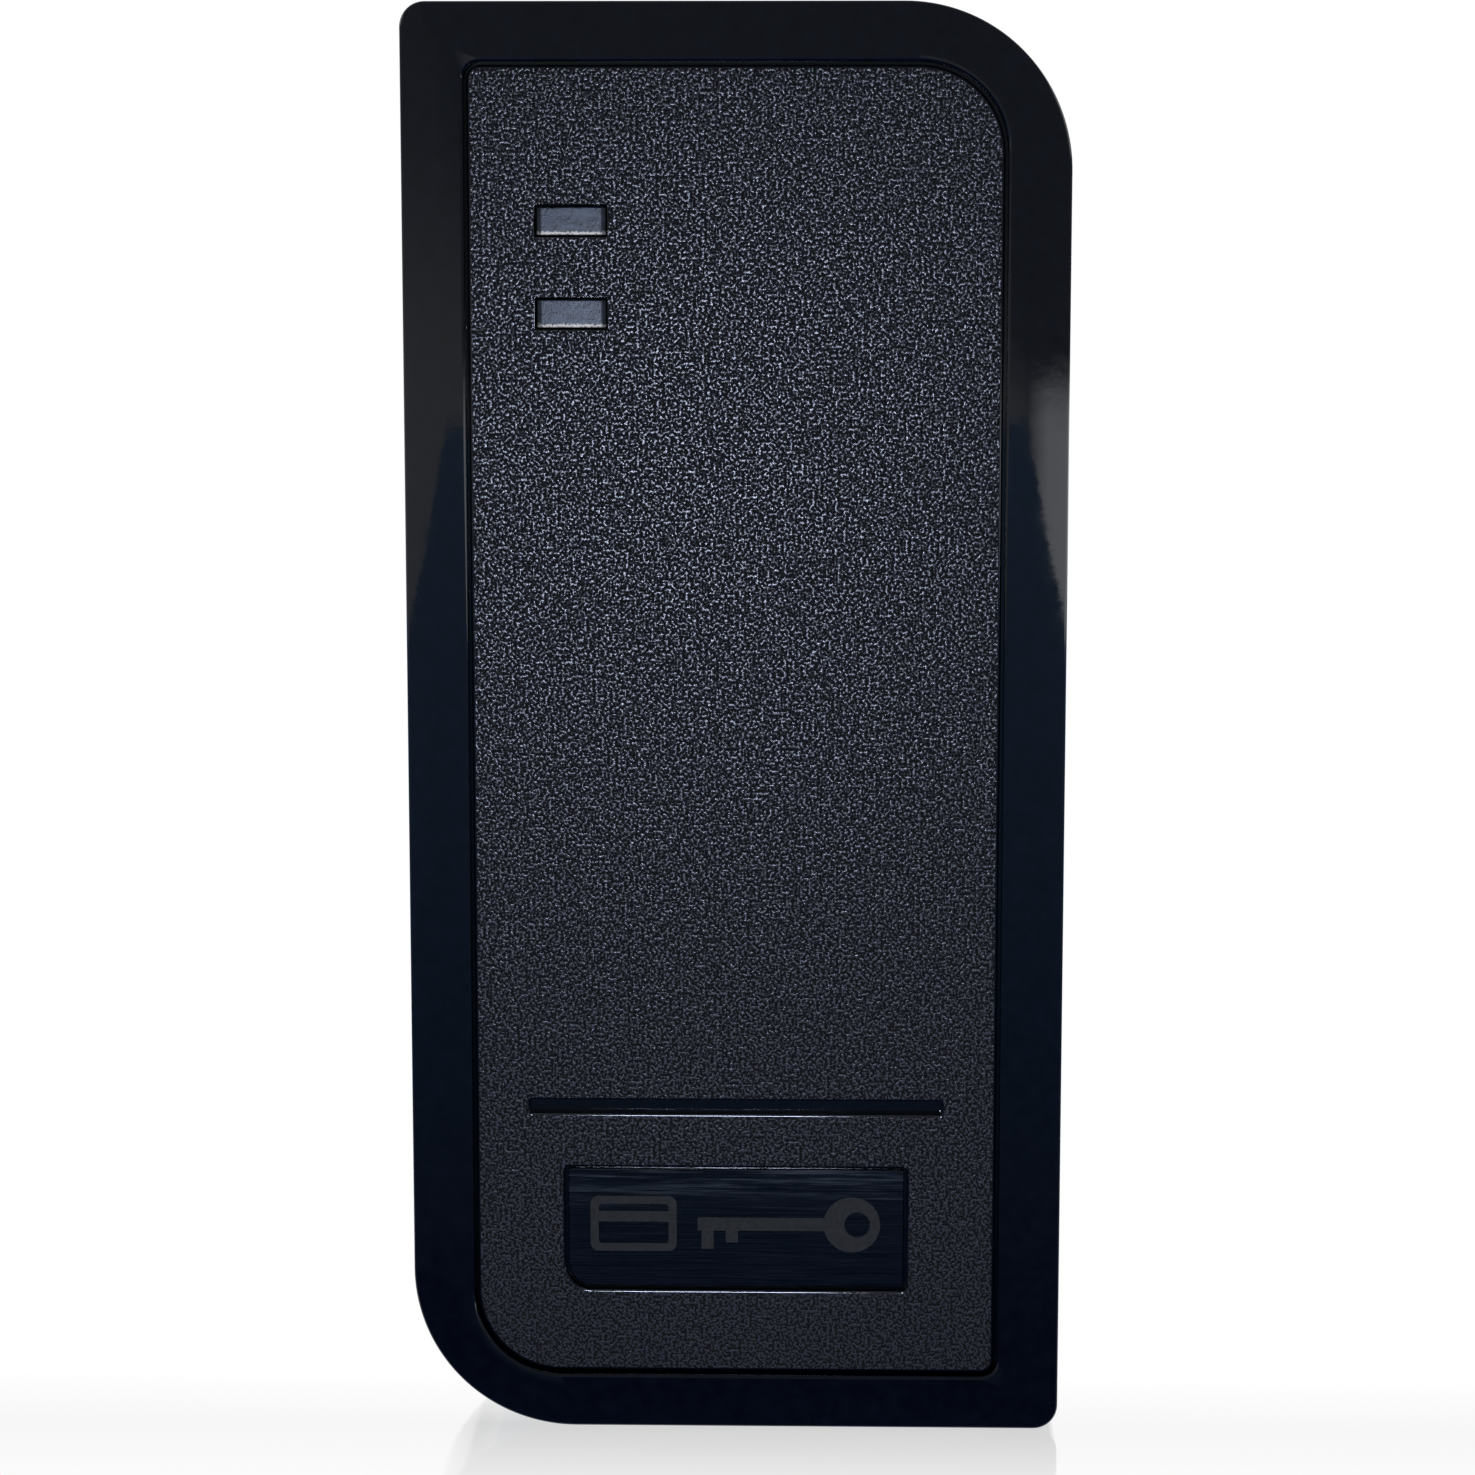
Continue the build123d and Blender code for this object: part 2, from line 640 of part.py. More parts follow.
def wire_header():
    """A low side-entry socket for the cable's wires, open towards the grommet."""
    body = bar(HEADER_WIDTH, HEADER_LENGTH, HEADER_BACK, BOARD_BACK, 0, HEADER_Y)
    mouth_width = HEADER_WIDTH - 2 * HEADER_WALL
    mouth_y = HEADER_Y - HEADER_WALL
    body = body - bar(mouth_width, HEADER_LENGTH, HEADER_MOUTH_LOW, HEADER_MOUTH_HIGH, 0, mouth_y)
    span = (HEADER_PINS - 1) / 2
    for i in range(HEADER_PINS):
        body = body - header_pin((i - span) * HEADER_PITCH)
    return body


def tamper_switch_body():
    body = bar(TAMPER_WIDTH, TAMPER_HEIGHT, TAMPER_BACK, BOARD_BACK, TAMPER_X, TAMPER_Y)
    chamber_low = TAMPER_BACK + TAMPER_GUIDE
    chamber = disc(CHAMBER_RADIUS, chamber_low, BOARD_BACK + PAST, TAMPER_X, TAMPER_Y)
    guide_radius = STEM_RADIUS + STEM_CLEARANCE
    guide = disc(guide_radius, TAMPER_BACK - PAST, BOARD_BACK, TAMPER_X, TAMPER_Y)
    return body - chamber - guide


def tamper_plunger():
    collar_front = COLLAR_BACK + COLLAR_THICKNESS
    stem = disc(STEM_RADIUS, STEM_TIP, collar_front, TAMPER_X, TAMPER_Y)
    stem = fillet(stem.edges().group_by(Axis.Z)[0], STEM_RADIUS / 2)
    body = stem + disc(COLLAR_RADIUS, COLLAR_BACK, collar_front, TAMPER_X, TAMPER_Y)
    return body - disc(SPRING_BORE, SPRING_SEAT, collar_front + PAST, TAMPER_X, TAMPER_Y)


def tamper_spring():
    """An open coil spring between the plunger's bore and the board."""
    low = SPRING_SEAT + SPRING_WIRE + SPRING_END_GAP
    high = BOARD_BACK - SPRING_WIRE - SPRING_END_GAP
    path = Helix(pitch=(high - low) / SPRING_TURNS, height=high - low, radius=SPRING_RADIUS)
    profile = Plane(origin=path @ 0, z_dir=path % 0) * Circle(SPRING_WIRE)
    return Pos(TAMPER_X, TAMPER_Y, low) * sweep(profile, path=path, is_frenet=True)


def sealing_gasket():
    ring = sealed_outline(SKIRT_WALL + COVER_CLEARANCE) - sealed_outline(GASKET_INNER)
    return slab(ring, COVER_FRONT, LEDGE_LEVEL)


def head_slot(grow, low, high, y):
    """The room a wall screw's head needs, as a slot to cut."""
    length = SLOT_LENGTH - SLOT_WIDTH + HEAD_SLOT_WIDTH
    outline = SlotOverall(length + 2 * grow, HEAD_SLOT_WIDTH + 2 * grow, rotation=90)
    return slab(Pos(0, y) * outline, low, high)


def rear_cover():
    body = slab(sealed_outline(SKIRT_WALL + COVER_CLEARANCE), COVER_BACK, COVER_FRONT)
    head_seat = COVER_BACK + COVER_HEAD_HEIGHT
    for x, y in COVER_SCREW_POINTS:
        hole = COVER_SCREW_RADIUS + CLEARANCE
        body = body - disc(hole, COVER_BACK - PAST, COVER_FRONT + PAST, x, y)
        body = body - disc(COVER_HEAD_RADIUS + CLEARANCE, COVER_BACK - PAST, head_seat, x, y)
    for y in (-WALL_SCREW_PITCH / 2, WALL_SCREW_PITCH / 2):
        relief_floor = COVER_BACK + HEAD_RELIEF
        body = body - head_slot(HEAD_RELIEF_GROWTH, COVER_BACK - PAST, relief_floor, y)
    low = COVER_BACK - PAST
    high = COVER_FRONT + PAST
    body = body - disc(GROMMET_SLEEVE, low, high, CABLE_X, CABLE_Y)
    return body - disc(STEM_RADIUS + STEM_COVER_GAP, low, high, TAMPER_X, TAMPER_Y)


def rear_cover_screws():
    head = (COVER_HEAD_RADIUS, COVER_HEAD_HEIGHT)
    shank = (COVER_SCREW_RADIUS, COVER_BACK + COVER_HEAD_HEIGHT, COVER_SCREW_TIP)
    return Compound([screw_from_back(*head, *shank, x, y) for x, y in COVER_SCREW_POINTS])


def cable_grommet():
    low = COVER_BACK - GROMMET_LIP
    high = COVER_FRONT + GROMMET_LIP
    outer_lip = disc(GROMMET_FLANGE, low, COVER_BACK, CABLE_X, CABLE_Y)
    outer_lip = fillet(outer_lip.edges().group_by(Axis.Z)[0], GROMMET_ROUNDING)
    inner_lip = disc(GROMMET_FLANGE, COVER_FRONT, high, CABLE_X, CABLE_Y)
    body = outer_lip + disc(GROMMET_SLEEVE, COVER_BACK, COVER_FRONT, CABLE_X, CABLE_Y) + inner_lip
    return body - disc(GROMMET_BORE, low - PAST, high + PAST, CABLE_X, CABLE_Y)


def wall_plate():
    body = slab(body_outline(PLATE_INSET), 0, PLATE_FRONT)
    tongue_y = HEIGHT / 2 - PLATE_INSET + (TONGUE_REACH - PAST) / 2
    for side in (-1, 1):
        x = side * TONGUE_X
        body = body + bar(TONGUE_WIDTH, TONGUE_REACH + PAST, TONGUE_BACK, TONGUE_FRONT, x, tongue_y)
    tab_middle = (TAB_TOP + TAB_BOTTOM) / 2
    tab_root = PLATE_FRONT - CLEARANCE
    body = body + bar(2 * TAB_HALF_WIDTH, TAB_TOP - TAB_BOTTOM, tab_root, TAB_FRONT, 0, tab_middle)
    body = body - upright(INSERT_RADIUS, TAB_BOTTOM - PAST, TAB_BOTTOM + INSERT_LENGTH)
    for y in (-WALL_SCREW_PITCH / 2, WALL_SCREW_PITCH / 2):
        slot = Pos(0, y) * SlotOverall(SLOT_LENGTH, SLOT_WIDTH, rotation=90)
        body = body - slab(slot, -PAST, PLATE_FRONT + PAST)
        body = body - head_slot(0, HEAD_SLOT_FLOOR, PLATE_FRONT + CLEARANCE, y)
    high = PLATE_FRONT + PAST
    body = body - disc(CABLE_OPENING_RADIUS, -PAST, high, CABLE_X, CABLE_Y)
    return body - disc(STEM_RADIUS + STEM_PLATE_GAP, -PAST, high, TAMPER_X, TAMPER_Y)


def security_insert():
    body = upright(INSERT_RADIUS, TAB_BOTTOM, TAB_BOTTOM + INSERT_LENGTH)
    return body - upright(SECURITY_RADIUS + PILOT_CLEARANCE, TAB_BOTTOM - PAST, TAB_TOP + PAST)


def security_screw():
    """A pan-head screw whose six-lobed recess has a pin in its middle."""
    head_bottom = SECURITY_SEAT - SECURITY_HEAD_HEIGHT
    head = upright(SECURITY_HEAD_RADIUS, head_bottom, SECURITY_SEAT)
    head = fillet(head.edges().group_by(Axis.Y)[0], SECURITY_HEAD_HEIGHT / 3)
    recess_top = head_bottom + LOBE_DEPTH
    recess = upright(LOBE_CORE_RADIUS, head_bottom, recess_top)
    for i in range(LOBE_COUNT):
        turn = Pos(0, 0, SECURITY_LEVEL) * Rot(0, 360 / LOBE_COUNT * i, 0)
        lobe = turn * Pos(LOBE_REACH, 0, -SECURITY_LEVEL)
        recess = recess + lobe * upright(LOBE_RADIUS, head_bottom, recess_top)
    pin = upright(CENTRE_PIN_RADIUS, head_bottom + CENTRE_PIN_DROP, SECURITY_SEAT)
    body = head - recess + pin
    return body + upright(SECURITY_RADIUS, SECURITY_SEAT, SECURITY_TIP)


NODES = {
    "front_housing": front_housing,
    "face_panel": face_panel,
    "panel_adhesive": panel_adhesive,
    "nameplate": nameplate,
    "nameplate_adhesive": nameplate_adhesive,
    "led_upper": lambda: led_body(LED_UPPER_Y),
    "led_lower": lambda: led_body(LED_LOWER_Y),
    "led_lead_frames": led_lead_frames,
    "led_holder": led_holder,
    "pcb": pcb,
    "pcb_screws": pcb_screws,
    "coil_former": coil_former,
    "antenna_coil": antenna_coil,
    "coil_foam_pads": coil_foam_pads,
    "microcontroller": microcontroller,
    "rf_front_end_chip": rf_front_end_chip,
    "ic_leads": ic_leads,
    "voltage_regulator": voltage_regulator,
    "smoothing_capacitor": smoothing_capacitor,
    "crystal": crystal,
    "smd_passives": smd_passives,
    "buzzer_case": buzzer_case,
    "buzzer_diaphragm": buzzer_diaphragm,
    "wire_header": wire_header,
    "wire_header_pins": header_pins,
    "tamper_switch_body": tamper_switch_body,
    "tamper_plunger": tamper_plunger,
    "tamper_spring": tamper_spring,
    "sealing_gasket": sealing_gasket,
    "rear_cover": rear_cover,
    "rear_cover_screws": rear_cover_screws,
    "cable_grommet": cable_grommet,
    "wall_plate": wall_plate,
    "security_insert": security_insert,
    "security_screw": security_screw,
}

os.makedirs("parts", exist_ok=True)
for name, make in NODES.items():
    export_step(make().moved(Plane.XZ.location), f"parts/{name}.step")
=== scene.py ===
import json
import math

import bmesh
import bpy
from mathutils import Matrix, Vector


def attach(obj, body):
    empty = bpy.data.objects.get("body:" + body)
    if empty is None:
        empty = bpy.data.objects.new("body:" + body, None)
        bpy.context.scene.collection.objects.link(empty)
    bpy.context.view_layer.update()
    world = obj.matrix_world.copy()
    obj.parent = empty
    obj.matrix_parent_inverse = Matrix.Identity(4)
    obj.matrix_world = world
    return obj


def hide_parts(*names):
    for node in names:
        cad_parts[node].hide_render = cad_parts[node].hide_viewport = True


# The reader's looks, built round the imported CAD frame. New pieces are drawn in millimetres in flat
# coordinates (x right, y up, z out from the wall) and turned into the row frame: (x, -z, y).

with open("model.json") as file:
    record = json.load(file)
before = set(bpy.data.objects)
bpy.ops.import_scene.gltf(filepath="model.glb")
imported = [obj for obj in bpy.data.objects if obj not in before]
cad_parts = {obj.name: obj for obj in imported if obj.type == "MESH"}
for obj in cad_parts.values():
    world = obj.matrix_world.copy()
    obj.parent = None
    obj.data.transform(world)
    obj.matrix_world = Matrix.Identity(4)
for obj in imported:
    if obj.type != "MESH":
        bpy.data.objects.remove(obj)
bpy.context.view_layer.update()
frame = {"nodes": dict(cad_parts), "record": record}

MM = 0.001

# Outline
WIDTH = 48.0
HEIGHT = 105.0
DEPTH = 17.5
LARGE_RADIUS = 12.0
SMALL_RADIUS = 1.8
LEAST_RADIUS = 0.3
LARGE_STEPS = 40
SMALL_STEPS = 10
PAST = 1.0

# Housing
SKIRT_RIM = 0.3
SKIRT_WALL = 1.7
RIM_ROUNDING = 0.25
RIM_STEPS = 3
COVER_BACK = 2.9
LEDGE_LEVEL = 5.5
CAVITY_WALL = 3.2
CAVITY_TOP = 13.6
POCKET_FLOOR = 15.5
EDGE_ROUNDING = 0.45
CROWN_INSET = 3.2
CROWN_SLOPE = math.radians(28.6)
CROWN_STEPS = 14
EDGE_STEPS = 8
LIP_ROUNDING = 0.24
LIP_STEPS = 8
BAY_HALF_WIDTH = 6.5
BAY_BOTTOM = -49.9
BAY_TOP = -45.8
BAY_FRONT = 8.6
BAY_WALL = 1.2
CLEARANCE = 0.2
OFFSET = 0.004  # keeps the walls of two overlapping cuts out of one plane
OVERLAP = 0.01
LAP = 0.2  # how far a joined post or a deeper hole reaches into the shape before it
BOARD_BOSSES = [(-17.8, 38.5), (17.8, 38.5), (-17.8, -37.5), (17.8, -37.5)]
BOARD_BOSS_RADIUS = 2.0
BOARD_BOSS_END = 10.0
BOARD_PILOT_RADIUS = 0.92
BOARD_PILOT_SPAN = (9.0, 14.0)
COVER_BOSSES = [(-16.5, 45.0), (16.5, 45.0), (-16.5, -45.0), (16.5, -45.0)]
COVER_BOSS_RADIUS = 2.2
COVER_BOSS_END = 4.75
BOSS_CUT_LEVEL = 4.0  # below the cavity's floor, so that the cut reaches right through it
COVER_PILOT_RADIUS = 1.07
COVER_PILOT_DEPTH = 12.1
TONGUE_X = 8.0
TONGUE_Y = 50.85
TONGUE_SLOT = (7.8, 2.1)
TONGUE_SPAN = (1.0, 2.4)
SECURITY_LEVEL = 5.2
COUNTERBORE_RADIUS = 2.5
COUNTERBORE_TOP = -51.0
SECURITY_RADIUS = 1.45

# Face panel
PANEL_WIDTH = 38.4
PANEL_HEIGHT = 96.0
PANEL_LARGE_RADIUS = 6.25
PANEL_SMALL_RADIUS = 1.0
PANEL_GAP = 0.2
PANEL_BACK = 15.65
PANEL_FRONT = 17.15
PANEL_RIM_ROUNDING = 0.25
PANEL_CUT_ROUNDING = 0.15
WINDOW_ROUNDING = 0.06
WINDOW_RADIUS = 0.12
ROUNDING_STEPS = 5
STAKE_RADIUS = 0.9
STAKE_HOLE_RADIUS = 1.05
STAKE_END = 13.7
STAKE_POINTS = [(-16, 12), (16, 12), (-16, -18), (16, -18), (0, 44), (0, -38)]
LED_X = -11.8
LED_ROWS = (37.0, 30.4)
WINDOW_WIDTH = 5.2
WINDOW_HEIGHT = 2.3
GROOVE_LENGTH = 30.4
GROOVE_WIDTH = 1.05
GROOVE_DEPTH = 0.85
GROOVE_Y = -27.85
GROOVE_RADIUS = 0.15
RECESS_WIDTH = 25.3
RECESS_HEIGHT = 9.4
RECESS_DEPTH = 0.9
RECESS_Y = -37.1
RECESS_LARGE_RADIUS = 2.0
RECESS_SMALL_RADIUS = 0.4
RECESS_STEPS = (6, 6, 14, 6)
SLOT_STEPS = (4,) * 4
NAMEPLATE_FRONT = 16.8


# ---------------------------------------------------------------- drawing helpers


def corner(cx, cy, radius, start, steps):
    """Points on a quarter circle, counter-clockwise from the start angle in degrees."""
    return [
        (
            cx + radius * math.cos(math.radians(start + 90.0 * i / steps)),
            cy + radius * math.sin(math.radians(start + 90.0 * i / steps)),
        )
        for i in range(steps + 1)
    ]


def rounded(width, height, radii, steps, x=0.0, y=0.0):
    """A rectangle with its own radius at the top right, top left, bottom left and bottom right."""
    right, top = width / 2, height / 2
    tr, tl, bl, br = radii
    points = corner(x + right - tr, y + top - tr, tr, 0, steps[0])
    points += corner(x - right + tl, y + top - tl, tl, 90, steps[1])
    points += corner(x - right + bl, y - top + bl, bl, 180, steps[2])
    points += corner(x + right - br, y - top + br, br, 270, steps[3])
    return points


def leaf(width, height, large, small):
    steps = (LARGE_STEPS, SMALL_STEPS, LARGE_STEPS, SMALL_STEPS)
    return rounded(width, height, (large, small, large, small), steps)


def body_outline(inset):
    small = max(SMALL_RADIUS - inset, LEAST_RADIUS)
    return leaf(WIDTH - 2 * inset, HEIGHT - 2 * inset, LARGE_RADIUS - inset, small)


def panel_outline(grow):
    return leaf(
        PANEL_WIDTH + 2 * grow,
        PANEL_HEIGHT + 2 * grow,
        PANEL_LARGE_RADIUS + grow,
        PANEL_SMALL_RADIUS + grow,
    )


def sealed_outline(inset):
    """The body outline with a notch round the security screw's bay."""
    grow = BAY_WALL + inset - SKIRT_WALL
    half = BAY_HALF_WIDTH + grow
    top = BAY_TOP + grow
    low = -HEIGHT / 2 + inset
    notch = [(-half, low), (-half, top), (half, top), (half, low)]
    outline = body_outline(inset)
    after = 2 * (LARGE_STEPS + 1) + SMALL_STEPS + 1
    return outline[:after] + notch + outline[after:]


def nameplate_outline(inset):
    small = max(RECESS_SMALL_RADIUS - inset, LEAST_RADIUS)
    radii = (small, small, RECESS_LARGE_RADIUS - inset, small)
    size = (RECESS_WIDTH - 2 * inset, RECESS_HEIGHT - 2 * inset)
    return rounded(*size, radii, RECESS_STEPS, 0.0, RECESS_Y)


def box_outline(width, height, x=0.0, y=0.0):
    right, top = width / 2, height / 2
    return [(x + right, y + top), (x - right, y + top), (x - right, y - top), (x + right, y - top)]


def circle(radius, x=0.0, y=0.0, steps=40):
    turn = 2 * math.pi / steps
    return [(x + radius * math.cos(i * turn), y + radius * math.sin(i * turn)) for i in range(steps)]


def hole(radius, x, y):
    return circle(radius, x, y, 24)


def flat(x, y, z):
    """A point given as (right, up, out from the wall), in the row frame."""
    return Vector((x, -z, y))


def skin(name, loops):
    """A solid swept through loops of equal length, capped at both ends."""
    mesh = bpy.data.meshes.new(name)
    work = bmesh.new()
    rows = [[work.verts.new(p) for p in loop] for loop in loops]
    count = len(rows[0])
    for low, high in zip(rows, rows[1:]):
        for i in range(count):
            j = (i + 1) % count
            work.faces.new((low[i], low[j], high[j], high[i]))
    work.faces.new(rows[0])
    work.faces.new(rows[-1])
    bmesh.ops.recalc_face_normals(work, faces=work.faces)
    work.to_mesh(mesh)
    work.free()
    piece = bpy.data.objects.new(name, mesh)
    bpy.context.scene.collection.objects.link(piece)
    return piece


def prism(name, outline, low, high):
    return skin(name, [[flat(x, y, z) for x, y in outline] for z in (low, high)])


def upright(name, radius, low, high, level):
    """A round post along +Z, standing at that level out from the wall."""
    ring = circle(radius)
    return skin(name, [[Vector((x, y - level, z)) for x, y in ring] for z in (low, high)])


def settle(piece):
    """Turns a piece's modifiers into its mesh."""
    graph = bpy.context.evaluated_depsgraph_get()
    mesh = bpy.data.meshes.new_from_object(piece.evaluated_get(graph))
    piece.modifiers.clear()
    old = piece.data
    piece.data = mesh
    bpy.data.meshes.remove(old)


def combine(piece, others, operation="DIFFERENCE"):
    for other in others:
        step = piece.modifiers.new("step", "BOOLEAN")
        step.operation = operation
        step.solver = "EXACT"
        step.object = other
    settle(piece)
    for other in others:
        mesh = other.data
        bpy.data.objects.remove(other)
        bpy.data.meshes.remove(mesh)
    return piece


def finish_mesh(piece, angle=35.0):
    """Scales a drawn piece to metres and shades it smooth up to that angle in degrees."""
    piece.data.transform(Matrix.Scale(MM, 4))
    piece.data.shade_smooth()
    piece.data.set_sharp_from_angle(angle=math.radians(angle))
    even = piece.modifiers.new("even", "WEIGHTED_NORMAL")
    even.mode = "FACE_AREA"
    even.weight = 100
    even.keep_sharp = True
    settle(piece)
    return piece


# ---------------------------------------------------------------- housing


def crown_profile():
    """(inset, level) from the rear rim over the rounded edge and the crown to the pocket's lip."""
    steps = [(SKIRT_WALL / 2, SKIRT_RIM)]
    for i in range(RIM_STEPS + 1):
        turn = math.radians(90 * i / RIM_STEPS)
        inset = RIM_ROUNDING * (1 - math.sin(turn))
        steps.append((inset, SKIRT_RIM + RIM_ROUNDING * (1 - math.cos(turn))))
    swing = math.pi / 2 - CROWN_SLOPE
    start = EDGE_ROUNDING * (1 - math.cos(swing))
    drop = math.tan(CROWN_SLOPE) * (CROWN_INSET - start) / 2
    shoulder = DEPTH - drop - EDGE_ROUNDING * math.sin(swing)
    for i in range(EDGE_STEPS + 1):
        turn = swing * i / EDGE_STEPS
        inset = EDGE_ROUNDING * (1 - math.cos(turn))
        steps.append((inset, shoulder + EDGE_ROUNDING * math.sin(turn)))
    for i in range(1, CROWN_STEPS + 1):
        share = i / CROWN_STEPS
        inset = start + share * (CROWN_INSET - start)
        steps.append((inset, DEPTH - drop * (1 - share) ** 2))
    return steps


def housing_shell():
    loops = [[flat(x, y, z) for x, y in body_outline(inset)] for inset, z in crown_profile()]
    for i in range(LIP_STEPS + 1):
        turn = math.radians(90 * i / LIP_STEPS)
        grow = PANEL_GAP + LIP_ROUNDING * (1 - math.sin(turn))
        level = DEPTH - LIP_ROUNDING * (1 - math.cos(turn))
        loops.append([flat(x, y, level) for x, y in panel_outline(grow)])
    loops.append([flat(x, y, POCKET_FLOOR) for x, y in panel_outline(PANEL_GAP)])
    shell = skin("housing_shell", loops)

    top = CAVITY_TOP + PAST
    cavity = prism("c", sealed_outline(CAVITY_WALL), LEDGE_LEVEL - OVERLAP, CAVITY_TOP)
    bosses = [prism("c", circle(BOARD_BOSS_RADIUS, *at), BOARD_BOSS_END, top) for at in BOARD_BOSSES]
    bosses += [prism("c", circle(COVER_BOSS_RADIUS, *at), BOSS_CUT_LEVEL, top) for at in COVER_BOSSES]
    combine(cavity, bosses)

    cuts = [prism("c", body_outline(SKIRT_WALL), SKIRT_RIM - PAST, COVER_BACK)]
    cuts.append(prism("c", sealed_outline(SKIRT_WALL + OFFSET), COVER_BACK - OVERLAP, LEDGE_LEVEL))
    cuts.append(cavity)
    combine(shell, cuts)
    slim = COVER_BOSS_RADIUS - OFFSET
    ends = [prism("c", circle(slim, *at), COVER_BOSS_END, LEDGE_LEVEL + LAP) for at in COVER_BOSSES]
    combine(shell, ends, "UNION")

    floor_span = (CAVITY_TOP - PAST, POCKET_FLOOR + PAST)
    cuts = [prism("c", hole(COVER_PILOT_RADIUS, *at), 0.0, COVER_PILOT_DEPTH) for at in COVER_BOSSES]
    cuts += [prism("c", hole(BOARD_PILOT_RADIUS, *at), *BOARD_PILOT_SPAN) for at in BOARD_BOSSES]
    cuts += [prism("c", hole(STAKE_HOLE_RADIUS, *at), *floor_span) for at in STAKE_POINTS]
    window = (WINDOW_WIDTH + 2 * CLEARANCE, WINDOW_HEIGHT + 2 * CLEARANCE)
    cuts += [prism("c", box_outline(*window, LED_X, y), *floor_span) for y in LED_ROWS]
    bay_y = (BAY_TOP + BAY_BOTTOM) / 2
    bay = box_outline(2 * BAY_HALF_WIDTH, BAY_TOP - BAY_BOTTOM, 0, bay_y)
    cuts.append(prism("c", bay, SKIRT_RIM - PAST, BAY_FRONT))
    for x in (-TONGUE_X, TONGUE_X):
        cuts.append(prism("c", box_outline(*TONGUE_SLOT, x, TONGUE_Y), *TONGUE_SPAN))
    cuts.append(upright("c", COUNTERBORE_RADIUS, -HEIGHT / 2 - PAST, COUNTERBORE_TOP, SECURITY_LEVEL))
    cuts.append(upright("c", SECURITY_RADIUS, COUNTERBORE_TOP - LAP, BAY_BOTTOM + PAST, SECURITY_LEVEL))
    combine(shell, cuts)
    return finish_mesh(shell, angle=32)


# ---------------------------------------------------------------- face panel


def slot_outline(width, height, radius, x, y):
    """A rounded slot's outline, as a function of how far it is grown."""

    def outline(grow):
        return rounded(width + 2 * grow, height + 2 * grow, (radius + grow,) * 4, SLOT_STEPS, x, y)

    return outline


def flared(outline, floor, rounding=PANEL_CUT_ROUNDING):
    """A cut with straight walls that open out in a small rounding at the panel's face."""
    loops = [[flat(x, y, floor) for x, y in outline(0)]]
    for i in range(ROUNDING_STEPS + 1):
        turn = math.radians(90 * i / ROUNDING_STEPS)
        grow = rounding * (1 - math.cos(turn))
        level = PANEL_FRONT - rounding * (1 - math.sin(turn))
        loops.append([flat(x, y, level) for x, y in outline(grow)])
    loops.append([flat(x, y, PANEL_FRONT + PAST) for x, y in outline(rounding)])
    return skin("c", loops)


def panel_insert():
    loops = [[flat(x, y, PANEL_BACK) for x, y in panel_outline(0)]]
    for i in range(ROUNDING_STEPS + 1):
        turn = math.radians(90 * i / ROUNDING_STEPS)
        inset = PANEL_RIM_ROUNDING * (1 - math.cos(turn))
        level = PANEL_FRONT - PANEL_RIM_ROUNDING * (1 - math.sin(turn))
        loops.append([flat(x, y, level) for x, y in panel_outline(-inset)])
    panel = skin("panel_insert", loops)
    stakes = [prism("c", hole(STAKE_RADIUS, *at), STAKE_END, PANEL_BACK + LAP) for at in STAKE_POINTS]
    combine(panel, stakes, "UNION")
    windows = [slot_outline(WINDOW_WIDTH, WINDOW_HEIGHT, WINDOW_RADIUS, LED_X, y) for y in LED_ROWS]
    cuts = [flared(window, PANEL_BACK - PAST, WINDOW_ROUNDING) for window in windows]
    groove = slot_outline(GROOVE_LENGTH, GROOVE_WIDTH, GROOVE_RADIUS, 0, GROOVE_Y)
    cuts.append(flared(groove, PANEL_FRONT - GROOVE_DEPTH))
    cuts.append(flared(lambda grow: nameplate_outline(-grow), PANEL_FRONT - RECESS_DEPTH))
    combine(panel, cuts)
    finish_mesh(panel, angle=50)
    panel.data.materials.clear()
    panel.data.materials.append(LOOKS["panel_textured"].material)
    panel.data.materials.append(panel_edge_look().material)
    front = -(PANEL_FRONT - OVERLAP) * MM
    for face in panel.data.polygons:
        grained = face.normal.y < -0.999 and face.center.y < front
        face.material_index = 0 if grained else 1
    return panel


# ---------------------------------------------------------------- nameplate mark

MARK_FRONT = NAMEPLATE_FRONT + 0.03
MARK_BACK = NAMEPLATE_FRONT - 0.05
MARK_Y = -36.8
CARD_X = -7.6
CARD_SIZE = (6.4, 4.2)
CARD_RADIUS = 0.6
CARD_INSIDE = (5.2, 3.0)
CARD_INSIDE_RADIUS = 0.25
CARD_STRIPE = (5.6, 0.8)
CARD_STRIPE_RISE = 0.55
KEY_RING_X = 8.6
KEY_RING_RADIUS = 2.1
KEY_EYE_X = 9.0
KEY_EYE_RADIUS = 0.95
KEY_SHANK_X = 2.1
KEY_SHANK = (9.9, 1.0)
KEY_TEETH = [(-2.1, 0.9, 1.9), (-0.3, 0.9, 1.4)]  # each tooth's X, width and length


def card_mark():
    """A plain access card: an outline with one stripe."""
    card = rounded(*CARD_SIZE, (CARD_RADIUS,) * 4, (5,) * 4, CARD_X, MARK_Y)
    mark = prism("mark_card", card, MARK_BACK, MARK_FRONT)
    inside = rounded(*CARD_INSIDE, (CARD_INSIDE_RADIUS,) * 4, SLOT_STEPS, CARD_X, MARK_Y)
    combine(mark, [prism("c", inside, MARK_BACK - PAST, MARK_FRONT + PAST)])
    stripe = box_outline(*CARD_STRIPE, CARD_X, MARK_Y + CARD_STRIPE_RISE)
    return combine(mark, [prism("c", stripe, MARK_BACK, MARK_FRONT)], "UNION")


